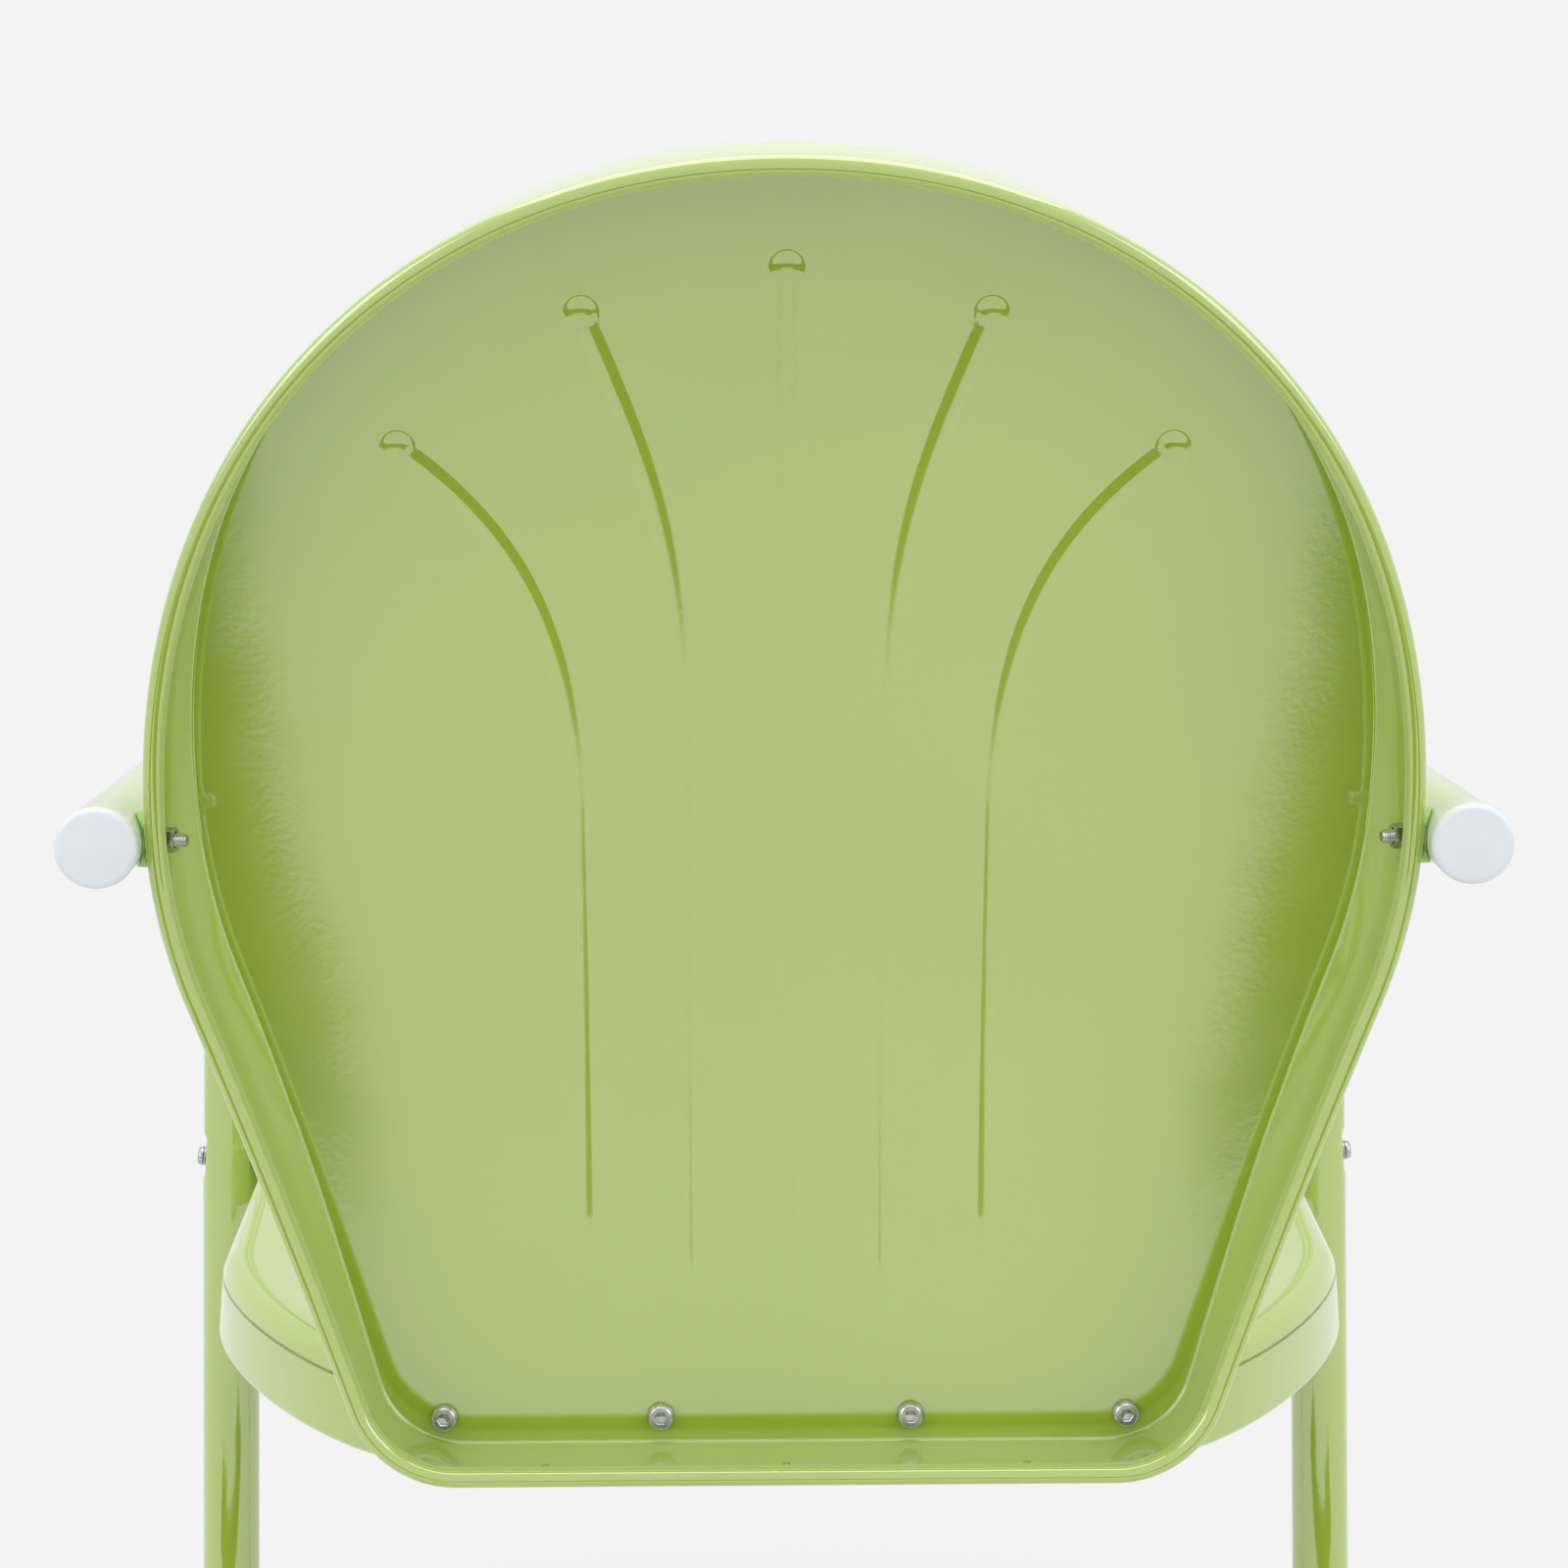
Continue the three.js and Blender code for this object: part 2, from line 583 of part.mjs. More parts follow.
// One ring of a tube. A pressed station is flattened square to the bolt that crosses it.
function tubeRing(station, radius, planeNormal) {
  const side = planeNormal.clone().cross(station.heading);
  return Array.from({ length: TUBE_SIDES_COUNT }, (_, k) => {
    const angle = 2 * Math.PI * ((k + 0.5) / TUBE_SIDES_COUNT);
    const point = along(station.point, planeNormal, radius * Math.cos(angle));
    point.addScaledVector(side, radius * Math.sin(angle));
    if (station.press) {
      const { centre, axis } = station.press;
      const proud = point.clone().sub(centre).dot(axis) - (radius - PRESS_DEPTH);
      if (proud > 0) point.addScaledVector(axis, -proud);
    }
    return point;
  });
}

function hollowTube(stations, planeNormal) {
  const outer = stations.map((station) => tubeRing(station, station.outer ?? tubeRadius, planeNormal));
  const inner = stations.map((station) => tubeRing(station, station.inner ?? boreRadius, planeNormal));
  return loft([...outer, ...inner.reverse()], true);
}

// Four path nodes round a bolt, the middle two pressed flat
function pressNodes(centre, axis, run, length) {
  const press = { centre, axis };
  const middle = axis.dot(run) * (tubeRadius - PRESS_DEPTH);
  return [
    { point: along(centre, run, middle - length / 2 - PRESS_RAMP) },
    { point: along(centre, run, middle - length / 2), press },
    { point: along(centre, run, middle + length / 2), press },
    { point: along(centre, run, middle + length / 2 + PRESS_RAMP) },
  ];
}

const throughHole = (centre, axis, size) => (
  rod(centre, axis, size.shank + 2 * HOLE_CLEARANCE, -tubeRadius - OVERRUN, tubeRadius + OVERRUN)
);
const joint = along(runnerRear, frameRun, -SPIGOT_LENGTH / 2);
const frontGlide = along(
  footCorner,
  frameRun,
  FOOT_BEND_RADIUS * Math.tan((Math.PI / 2 - radians(LEG_RAKE_DEGREES)) / 2) + GLIDE_FROM_BEND,
);
const down = vector(0, 0, -1);
const glideHole = (centre) => (
  rod(centre, down, GLIDE_STEM + 2 * HOLE_CLEARANCE, boreRadius / 2, tubeRadius + OVERRUN)
);

function sideFrame() {
  const towardFront = armRun.clone().negate();
  const nodes = [
    { point: armRear },
    ...pressNodes(armCentre, armBolt.axis, towardFront, ARM_PRESS_LENGTH),
    { point: armCorner, radius: ARM_BEND_RADIUS },
    ...pressNodes(legCentre, legBolt.axis, legRun, LEG_PRESS_LENGTH),
    { point: footCorner, radius: FOOT_BEND_RADIUS },
    { point: runnerRear },
  ];
  return cutAll(hollowTube(bentPath(nodes), frameNormal), [
    throughHole(armCentre, armBolt.axis, M5),
    throughHole(legCentre, legBolt.axis, M5),
    throughHole(joint, frameNormal, M6),
    glideHole(frontGlide),
  ]);
}

// Rear bar: a U of the same tube whose narrowed ends push into the runners
const barCorner = along(footCorner, frameRun, BASE_REAR);
const glideRear = vector(GLIDE_REAR_SPREAD / 2, barCorner.y, runnerHeight);

function rearBar() {
  const spigotRadius = boreRadius - GAP;
  const spigotBore = spigotRadius - TUBE_WALL;
  const shoulder = along(runnerRear, frameRun, GAP);
  const half = [
    { point: along(runnerRear, frameRun, -SPIGOT_LENGTH), outer: spigotRadius, inner: spigotBore },
    { point: runnerRear, outer: spigotRadius, inner: spigotBore },
    { point: shoulder, outer: tubeRadius, inner: spigotBore },
    { point: along(shoulder, frameRun, SPIGOT_NECK) },
    { point: barCorner, radius: BASE_BEND_RADIUS },
  ];
  const other = half.map((node) => ({ ...node, point: mirrorPoint(node.point) })).reverse();
  const otherJoint = mirrorPoint(joint);
  const otherNormal = mirrorPoint(frameNormal);
  return cutAll(hollowTube(bentPath([...half, ...other]), vector(0, 0, 1)), [
    throughHole(joint, frameNormal, M6),
    throughHole(otherJoint, otherNormal, M6),
    glideHole(glideRear),
    glideHole(mirrorPoint(glideRear)),
  ]);
}

// Fasteners, drawn with the head rising along +Z from a seat at zero
function bolt(size, length) {
  const radius = size.shank / 2;
  const headRadius = size.head / 2;
  const profile = [[0, -length], [radius, -length], [radius, 0], [headRadius, 0]];
  for (const [wide, tall] of HEAD_DOME_SHARES) profile.push([headRadius * wide, size.rise * tall]);
  profile.push([0, size.rise]);
  const socket = turned(ringProfile(0, size.socket / Math.sqrt(3), size.rise / 3, OVERRUN), HEX_SIDES_COUNT);
  return cutAll(turned(profile), [solid(socket)]);
}

function hexNut(size) {
  const body = turned(ringProfile(0, size.nut / Math.sqrt(3), 0, size.nutHeight), HEX_SIDES_COUNT);
  const bore = turned(ringProfile(0, size.shank / 2 + GAP, -OVERRUN, OVERRUN));
  return cutAll(body, [solid(bore)]);
}

function washer(size) {
  return turned(ringProfile(size.shank / 2 + HOLE_CLEARANCE, size.washer / 2, 0, size.sheet));
}

// Saddle spacer: a short round block hollowed to the tube it bears on
function saddleSpacer(start, axis, standoff, centre, run, size) {
  const body = rod(start, axis, SPACER_DIAMETER, GAP, standoff + tubeRadius / 2, ROUND_SIDES_COUNT);
  const tube = rod(centre, run, TUBE_DIAMETER + 2 * GAP, -OVERRUN, OVERRUN, SADDLE_SIDES_COUNT);
  const bore = rod(start, axis, size.shank + 2 * HOLE_CLEARANCE, -OVERRUN, 2 * OVERRUN);
  return baked(body.subtract(tube).subtract(bore));
}

// Plug cap, drawn with its face rising along +Z from the tube's end
function armCap() {
  const outer = tubeRadius + CAP_OVERHANG;
  const stem = boreFlat - GAP;
  const profile = [[0, GAP + CAP_WALL], [stem - CAP_WALL, GAP + CAP_WALL], [stem - CAP_WALL, -CAP_STEM]];
  profile.push([stem, -CAP_STEM], [stem, GAP], [outer, GAP]);
  for (let i = 0; i <= EDGE_STEPS_COUNT; i += 1) {
    const angle = (Math.PI / 2) * (i / EDGE_STEPS_COUNT);
    profile.push([outer - CAP_ROUND * (1 - Math.cos(angle)), CAP_FACE - CAP_ROUND * (1 - Math.sin(angle))]);
  }
  profile.push([0, CAP_FACE]);
  return turned(profile, SADDLE_SIDES_COUNT);
}

// Floor glide: a flat pad hollowed to the tube above it, with a stem that pushes into the tube
function floorGlide() {
  const length = GLIDE_LENGTH / 2;
  const width = GLIDE_WIDTH / 2;
  const outline = new THREE.Shape();
  outline.absarc(length - GLIDE_ROUND, width - GLIDE_ROUND, GLIDE_ROUND, 0, Math.PI / 2);
  outline.absarc(GLIDE_ROUND - length, width - GLIDE_ROUND, GLIDE_ROUND, Math.PI / 2, Math.PI);
  outline.absarc(GLIDE_ROUND - length, GLIDE_ROUND - width, GLIDE_ROUND, Math.PI, 1.5 * Math.PI);
  outline.absarc(length - GLIDE_ROUND, GLIDE_ROUND - width, GLIDE_ROUND, 1.5 * Math.PI, 2 * Math.PI);
  const options = { depth: GLIDE_PAD + GLIDE_WRAP, bevelEnabled: false, curveSegments: EDGE_STEPS_COUNT };
  const pad = solid(new THREE.ExtrudeGeometry(outline, options));
  const tubeCentre = vector(0, 0, runnerHeight);
  const across = vector(1, 0, 0);
  const tube = rod(tubeCentre, across, TUBE_DIAMETER + 2 * GAP, -OVERRUN, OVERRUN, SADDLE_SIDES_COUNT);
  const stemTop = GLIDE_PAD + GAP + 2 * TUBE_WALL;
  const stem = rod(vector(0, 0, 0), vector(0, 0, 1), GLIDE_STEM, GLIDE_PAD / 2, stemTop);
  return baked(pad.subtract(tube).add(stem));
}

// The two pans with their holes and ribs
function backShell() {
  const { centre, inner, outer } = ribCurves();
  const ribs = [[centre, 1], [inner, 1], [inner, -1], [outer, 1], [outer, -1]];
  let body = solid(back.sheetBody());
  for (const [curve, side] of ribs) body = body.add(ribBody(curve, side, SHEET, SHEET / 2));
  for (const [curve, side] of ribs) body = body.subtract(ribBody(curve, side, 0, -SHEET / 2));
  for (const x of screwSpots) {
    body = body.subtract(rod(screwPoint(x), footOut, M6.shank + 2 * HOLE_CLEARANCE, -OVERRUN, OVERRUN));
  }
  for (const point of [armBolt, { point: mirrorPoint(armBolt.point), axis: mirrorPoint(armBolt.axis) }]) {
    body = body.subtract(rod(point.point, point.axis, M5.shank + 2 * HOLE_CLEARANCE, -OVERRUN, OVERRUN));
  }
  for (const x of [-DRAIN_PITCH, 0, DRAIN_PITCH]) {
    const drain = back.place(x, 0, DRAIN_FROM_LIP);
    body = body.subtract(rod(drain, footUp, DRAIN_DIAMETER, -OVERRUN / 2, OVERRUN / 2));
  }
  return baked(body);
}

function seatPan() {
  let body = solid(seat.sheetBody());
  for (const x of screwSpots) {
    body = body.subtract(rod(screwPoint(x), footOut, M6.shank + 2 * HOLE_CLEARANCE, -OVERRUN, OVERRUN));
  }
  for (const point of [legBolt, { point: mirrorPoint(legBolt.point), axis: mirrorPoint(legBolt.axis) }]) {
    body = body.subtract(rod(point.point, point.axis, M5.shank + 2 * HOLE_CLEARANCE, -OVERRUN, OVERRUN));
  }
  const drainLine = SEAT_LENGTH - SEAT_DRAIN_FROM_REAR;
  for (const x of [-SEAT_DRAIN_PITCH, 0, SEAT_DRAIN_PITCH]) {
    const drain = seat.place(x, drainLine, SEAT_SKIRT);
    body = body.subtract(rod(drain, seat.normal(drainLine), DRAIN_DIAMETER, -OVERRUN, OVERRUN));
  }
  return baked(body);
}

// Assembly
const chair = new THREE.Group();

function addPiece(name, geometry, finish, origin = vector(0, 0, 0), axis = vector(0, 0, 1)) {
  const mesh = new THREE.Mesh(geometry, new THREE.MeshStandardMaterial(finish));
  mesh.name = name;
  mesh.position.copy(origin);
  mesh.quaternion.setFromUnitVectors(vector(0, 0, 1), axis);
  chair.add(mesh);
  return mesh;
}

addPiece('back_shell', backShell(), PAINT);
addPiece('seat_pan', seatPan(), PAINT);
addPiece('base_rear_bar', rearBar(), PAINT);

const frameGeometry = sideFrame();
const armSpacer = saddleSpacer(armBolt.point, armBolt.axis, armStandoff, armCentre, armRun, M5);
const legSpacer = saddleSpacer(legBolt.point, legBolt.axis, LEG_STANDOFF, legCentre, legRun, M5);

// Stack of washer and nut behind a sheet, counted inward from its inner face
const stackLength = (size) => SHEET + GAP + size.sheet + GAP + size.nutHeight + THREAD_STICKOUT;
const headSeat = tubeRadius - PRESS_DEPTH + GAP;
const armBoltLength = headSeat + tubeRadius + armStandoff + stackLength(M5);
const legBoltLength = headSeat + GAP + M5.sheet + tubeRadius + LEG_STANDOFF + stackLength(M5);
const washerDepth = -(SHEET + GAP + M5.sheet);
const nutDepth = washerDepth - GAP - M5.nutHeight;

for (const [side, isLeft] of [['left', true], ['right', false]]) {
  const spot = (point) => (isLeft ? point.clone() : mirrorPoint(point));
  const shape = (geometry) => (isLeft ? geometry : mirrored(geometry));
  const armAxis = spot(armBolt.axis);
  const legAxis = spot(legBolt.axis);
  const jointAxis = spot(frameNormal);

  addPiece(`side_frame_${side}`, shape(frameGeometry), PAINT);
  addPiece(`arm_cap_${side}`, armCap(), WHITE_PLASTIC, spot(armRear), spot(armRun));
  addPiece(`arm_spacer_${side}`, shape(armSpacer), SPACER_GREEN);
  const armHead = along(armCentre, armBolt.axis, headSeat);
  const armWasher = along(armBolt.point, armBolt.axis, washerDepth);
  const armNut = along(armBolt.point, armBolt.axis, nutDepth);
  addPiece(`arm_bolt_${side}`, bolt(M5, armBoltLength), STEEL, spot(armHead), armAxis);
  addPiece(`arm_washer_${side}`, washer(M5), STEEL, spot(armWasher), armAxis);
  addPiece(`arm_nut_${side}`, hexNut(M5), STEEL, spot(armNut), armAxis);

  const outerWasher = along(legCentre, legBolt.axis, headSeat);
  const legHead = along(outerWasher, legBolt.axis, M5.sheet + GAP);
  const innerWasher = along(legBolt.point, legBolt.axis, washerDepth);
  const legNut = along(legBolt.point, legBolt.axis, nutDepth);
  addPiece(`leg_spacer_${side}`, shape(legSpacer), SPACER_GREEN);
  addPiece(`leg_bolt_${side}`, bolt(M5, legBoltLength), STEEL, spot(legHead), legAxis);
  addPiece(`leg_outer_washer_${side}`, washer(M5), STEEL, spot(outerWasher), legAxis);
  addPiece(`leg_inner_washer_${side}`, washer(M5), STEEL, spot(innerWasher), legAxis);
  addPiece(`leg_nut_${side}`, hexNut(M5), STEEL, spot(legNut), legAxis);

  const jointHead = along(joint, frameNormal, tubeRadius + GAP);
  const jointNut = along(joint, frameNormal, -tubeRadius - GAP - M6.nutHeight);
  const jointLength = 2 * (tubeRadius + GAP) + M6.nutHeight + THREAD_STICKOUT;
  addPiece(`base_bolt_${side}`, bolt(M6, jointLength), STEEL, spot(jointHead), jointAxis);
  addPiece(`base_nut_${side}`, hexNut(M6), STEEL, spot(jointNut), jointAxis);

  const front = addPiece(`floor_glide_front_${side}`, floorGlide(), WHITE_PLASTIC);
  front.position.set(spot(frontGlide).x, frontGlide.y, 0);
  front.rotation.z = Math.atan2(frameRun.y, spot(frameRun).x);
  const rear = addPiece(`floor_glide_rear_${side}`, floorGlide(), WHITE_PLASTIC);
  rear.position.set(spot(glideRear).x, glideRear.y, 0);
}

// Four screws clamp the foot of the back to the rear skirt of the seat
const backScrewLength = 2 * SHEET + 2 * GAP + M6.sheet + M6.nutHeight + 2 * GAP + THREAD_STICKOUT / 2;
screwSpots.forEach((x, i) => {
  const rear = screwPoint(x);
  const innerFace = 2 * SHEET + GAP;
  addPiece(`back_screw_${i + 1}`, bolt(M6, backScrewLength), STEEL, along(rear, footOut, GAP), footOut);
  const washerSpot = along(rear, footOut, -innerFace - GAP - M6.sheet);
  addPiece(`back_washer_${i + 1}`, washer(M6), STEEL, washerSpot, footOut);
  const nutSpot = along(washerSpot, footOut, -GAP - M6.nutHeight);
  addPiece(`back_nut_${i + 1}`, hexNut(M6), STEEL, nutSpot, footOut);
});

// The origin is on the floor in the middle of the chair's outline.
const bounds = new THREE.Box3().setFromObject(chair);
chair.position.y = -(bounds.min.y + bounds.max.y) / 2;

export default chair;
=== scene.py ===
# Retro spring lawn chair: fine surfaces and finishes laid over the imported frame.
# Lengths are metres in the frame's axes: the sitter faces -Y, +X is the sitter's left and the floor is Z = 0.
# Some forms differ a little from the solids: the taper and the knee of the back's skirt, its fainter ribs,
# and the fuller rear corners and narrow rim of the seat.
import math

import bpy
import numpy as np
from mathutils import Matrix, Vector
from mathutils.geometry import delaunay_2d_cdt


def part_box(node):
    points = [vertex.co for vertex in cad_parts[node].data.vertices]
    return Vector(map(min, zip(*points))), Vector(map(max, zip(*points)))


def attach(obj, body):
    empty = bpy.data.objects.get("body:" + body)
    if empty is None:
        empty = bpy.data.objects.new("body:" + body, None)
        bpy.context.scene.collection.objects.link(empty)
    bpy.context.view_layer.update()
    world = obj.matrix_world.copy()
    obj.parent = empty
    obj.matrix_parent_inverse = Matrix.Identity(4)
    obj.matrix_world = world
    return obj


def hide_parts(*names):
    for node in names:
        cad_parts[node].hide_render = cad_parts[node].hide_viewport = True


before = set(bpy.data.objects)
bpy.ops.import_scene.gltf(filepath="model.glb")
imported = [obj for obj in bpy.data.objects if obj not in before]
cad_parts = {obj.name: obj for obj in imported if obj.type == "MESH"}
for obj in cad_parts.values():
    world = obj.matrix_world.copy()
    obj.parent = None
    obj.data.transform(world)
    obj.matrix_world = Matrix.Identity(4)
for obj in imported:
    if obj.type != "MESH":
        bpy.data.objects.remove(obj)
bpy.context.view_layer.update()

# Steel tube and sheet
TUBE_RADIUS = 0.014
TUBE_WALL = 0.0015
BORE_RADIUS = TUBE_RADIUS - TUBE_WALL
SHEET = 0.0015
LIP_RADIUS = 0.0034
LIP_RETURN = 0.0025
EDGE_ROUND = 0.0003

# Seat pan, measured along and across its lower edge
SEAT_WIDTH = 0.521
SEAT_LENGTH = 0.440
SEAT_SKIRT = 0.036
SEAT_BEND = 0.010
SEAT_DRAFT = math.radians(5)
SEAT_TILT = math.radians(8.3)
SEAT_TAPER = math.radians(5.5)
SEAT_SIDE_TAPER = math.radians(4.3)
SEAT_SHOULDER = 0.104
SEAT_FRONT_POWER_SHARE = 2.5
SEAT_REAR_FLAT = 0.274
SEAT_CORNER = 0.145
SEAT_CORNER_PULL_SHARE = 0.37
SEAT_FRONT_CURVE = 0.090
SEAT_FRONT_LIFT = math.radians(15)
SEAT_REAR_HEIGHT = 0.368
SEAT_DISH = 0.011
SEAT_DISH_RUN = 0.110
SEAT_RIM = 0.005
SEAT_RIM_ROUND = 0.004
SEAT_DRAIN_PITCH = 0.110
SEAT_DRAIN_FROM_REAR = 0.095

# Back shell, measured along and across its rear lip
BACK_WIDTH = 0.452
BACK_HEIGHT = 0.4795
BACK_WIDEST = 0.243
BACK_CROWN_POWER_SHARE = 2.06
BACK_TAPER = math.radians(19.6)
BACK_TAPER_RADIUS = 0.188
BACK_CORNER_RADIUS = 0.042
BACK_SKIRT = 0.036
BACK_BEND = 0.003
BACK_DRAFT = math.radians(8)
BACK_KNEE_START = 0.018
BACK_KNEE_LENGTH = 0.010
BACK_KNEE_INSET = 0.0058
BACK_KNEE_MIDDLE = 0.180
BACK_KNEE_REACH = 0.176
BACK_KNEE_POWER_SHARE = 1.5
BACK_FOOT = 0.040
BACK_TOP_TILT = math.radians(31)
BACK_FOOT_RISE = 0.003

# Pressed ribs of the back
RIB_PITCH = 0.0382
RIB_WIDTH = 0.006
RIB_DEPTH = 0.00035
RIB_FADE = 0.016
RIB_SHOULDER = 0.0009
PIT_DIAMETER = 0.010
PIT_DEPTH = 0.0013
RIB_CENTRE_FOOT = 0.058
RIB_CENTRE_TOP = 0.433
RIB_INNER_TOP = 0.418
RIB_INNER_SPREAD = 0.031
RIB_INNER_TURN = 0.270
RIB_INNER_LEAN = math.radians(21.8)
RIB_OUTER_FOOT = 0.075
RIB_OUTER_TOP = 0.3725
RIB_OUTER_SPREAD = 0.0576
RIB_OUTER_TURN = 0.240
RIB_OUTER_LEAN = math.radians(53.6)
RIB_REACH_SHARES = (0.5, 0.38)
RIB_START_SHARE = 0.4
RIB_POWER_SHARE = 1.6
PIT_POWER_SHARE = 1.3
RIB_OUTER_WIDENING = 0.0006

# Drain holes
DRAIN_DIAMETER = 0.006
DRAIN_PITCH = 0.090
DRAIN_FROM_LIP = 0.015

# Side frames
ARM_RISE = math.radians(6.9)
ARM_END = 0.022
ARM_LIP_CLEARANCE = 0.0005
ARM_BEND_RADIUS = 0.095
LEG_FROM_FRONT = 0.114
LEG_STANDOFF = 0.007
LEG_RAKE = math.radians(1.8)
FOOT_BEND_RADIUS = 0.095
RUNNER_END = 0.175

# Rear bar of the base
BASE_REAR = 0.396
BASE_BEND_RADIUS = 0.070
SPIGOT_LENGTH = 0.038
SPIGOT_NECK = 0.004

# Fasteners
M5 = {"shank": 0.005, "head": 0.0095, "rise": 0.00275, "socket": 0.003, "pitch": 0.0008,
      "nut": 0.008, "nut_height": 0.0047, "washer": 0.010, "sheet": 0.001}
M6 = {"shank": 0.006, "head": 0.0105, "rise": 0.0033, "socket": 0.004, "pitch": 0.001,
      "nut": 0.010, "nut_height": 0.005, "washer": 0.012, "sheet": 0.0016}
THREAD_STICKOUT = 0.004
HOLE_CLEARANCE = 0.0004
THREAD_LENGTH = 0.022
THREAD_PLAIN = 0.002
THREAD_DEPTH_SHARE = 0.55
TIP_SHARE = 0.72
TIP_START = 0.0003
TIP_TAPER = 0.0008
TIP_TAPER_SHARE = 0.25
HEAD_EDGE = 0.0002
HEAD_RIM_SHARE = 0.16
HEAD_DOME = math.radians(68)
HEAD_SHRINK_SHARE = 0.26
HEAD_FLAT_SHARE = 0.71
SOCKET_EDGE = 0.0005
SOCKET_WALL_END_SHARE = 0.35
SOCKET_CONE_END_SHARE = 0.22
SOCKET_CENTRE_SHARE = 0.2
NUT_EDGE = 0.0005
NUT_CHAMFER = math.radians(28)
NUT_CHAMFER_START_SHARE = 0.985
WASHER_EDGE = 0.0002
BACK_SCREW_INNER = 0.0475
BACK_SCREW_OUTER = 0.1296
BACK_SCREW_RISE = 0.0166
ARM_BOLT_FROM_LIP = 0.0125
ARM_BOLT_DROP = 0.003
LEG_BOLT_RISE = 0.0195
SPACER_DIAMETER = 0.020
SPACER_EDGE = 0.0006
PRESS_DEPTH = 0.002
LEG_PRESS_LENGTH = 0.017
ARM_PRESS_LENGTH = 0.012
PRESS_RAMP = 0.003
PRESS_REACH_SHARE = 1.6

# Plastic caps and floor glides
CAP_FACE = 0.005
CAP_ROUND = 0.0022
CAP_OVERHANG = 0.0002
CAP_STEM = 0.015
CAP_WALL = 0.002
CAP_BORE_SHARE = math.cos(math.pi / 12)
CAP_EDGE = 0.0003
CAP_STEM_LEAD = 0.0005
CAP_STEM_LEAD_LENGTH = 0.0008
GLIDE_LENGTH = 0.030
GLIDE_WIDTH = 0.020
GLIDE_PAD = 0.004
GLIDE_ROUND = 0.005
GLIDE_STEM = 0.0055
GLIDE_STEM_LEAD = 0.0004
GLIDE_EDGE = 0.0008
GLIDE_FROM_BEND = 0.020
GLIDE_REAR_SPREAD = 0.250

GAP = 0.0003
OVERRUN = 0.010

# Fineness of the meshes
SHARP_ANGLE = math.radians(32)
ROUND_SIDES = 48
HOLE_SIDES = 28
PIT_SIDES = 32
TUBE_SIDES = 44
PLASTIC_SIDES = 64
CAP_SIDES = 72
THREAD_TURN_STEPS = 6
BEND_STEPS = 7
HIDDEN_BEND_STEPS = 5
KNEE_STEPS = 8
LIP_STEPS = 18
HIDDEN_LIP_STEPS = 10
PRESS_STATIONS = 25
TUBE_BEND_STEP = math.radians(3)
SEAT_OUTLINE_STEP = 0.0035
BACK_OUTLINE_STEP = 0.003
RIB_STEP = 0.001
RIB_OFFSETS = np.array([0.6, 1.2, 1.8, 2.4, 2.9, 3.5, 4.4]) / 1000
RIB_ROWS_END = 0.0025
RIB_FOOT_SIDES = 12
PIT_RINGS = 10
PIT_FIRST_RING = 0.0006
PIT_LAST_RING = 0.0022
PANEL_STEP = 0.007
PANEL_RIM_GAP = 0.004
PANEL_ROW_GAP = 0.002
SLOPE_STEP = 0.00005
ON_FACE = 0.00003

# Camera, found from the outline, the bolts and the caps in the photograph of 1600 by 1600 pixels
PHOTO_PIXELS = 1600
FOCAL_PIXELS = 2475.07
CAMERA_PLACE = Vector((0.01289, 1.06226, 0.63354))
CAMERA_YAW = math.radians(-0.804)
CAMERA_PITCH = math.radians(-0.363)
CAMERA_ROLL = math.radians(-0.167)

UP = Vector((0, 0, 1))


# Meshes
def smooth(mesh):
    mesh.shade_smooth()
    mesh.set_sharp_from_angle(angle=SHARP_ANGLE)


def add_object(name, vertices, faces, material):
    mesh = bpy.data.meshes.new(name)
    mesh.from_pydata(np.asarray(vertices, float).tolist(), [], faces)
    mesh.materials.append(material)
    smooth(mesh)
    obj = bpy.data.objects.new(name, mesh)
    bpy.context.scene.collection.objects.link(obj)
    return obj


def unit_circle(sides, first=0.0):
    """Points of a circle of radius one, counted from +X or from some share of a side past it."""
    angles = (np.arange(sides) + first) * 2 * math.pi / sides
    return np.stack([np.cos(angles), np.sin(angles)], 1)


def raised(points, height):
    """Flat points at one height, or each at its own."""
    return np.column_stack([points, np.zeros(len(points)) + height])


def ring(radius, height, sides=ROUND_SIDES):
    """A ring about +Z. Its radius and height are single numbers, or hold one value for each side."""
    return raised(unit_circle(sides) * np.reshape(radius, (-1, 1)), height)


def stitch(rings, joined):
    """Faces between rings of vertex numbers, where a ring may be one repeated vertex."""
    faces = []
    sides = len(rings[0])
    for i in range(len(rings) if joined else len(rings) - 1):
        near = rings[i]
        far = rings[(i + 1) % len(rings)]
        for k in range(sides):
            after = (k + 1) % sides
            face = [near[k], near[after], far[after], far[k]]
            face = [v for j, v in enumerate(face) if v != face[j - 1]]
            if len(face) > 2:
                faces.append(tuple(face))
    return faces


def closed_body(rings, start=None, end=None):
    """Vertices and faces of a body through rings. It ends in two points, or its last ring meets its first."""
    count = len(rings[0])
    rows = np.arange(len(rings) * count).reshape(-1, count)
    if start is None:
        return np.concatenate(rings), stitch(rows.tolist(), True)
    rows = [[0] * count] + (rows + 1).tolist() + [[len(rings) * count + 1] * count]
    return np.concatenate([[start], *rings, [end]]), stitch(rows, False)


def lathe(profile, sides):
    """Turns a [radius, height] profile about +Z. Both its ends lie on the axis, or neither does."""
    rings = [ring(radius, height, sides) for radius, height in profile if radius]
    if profile[0][0]:
        return closed_body(rings)
    return closed_body(rings, (0, 0, profile[0][1]), (0, 0, profile[-1][1]))


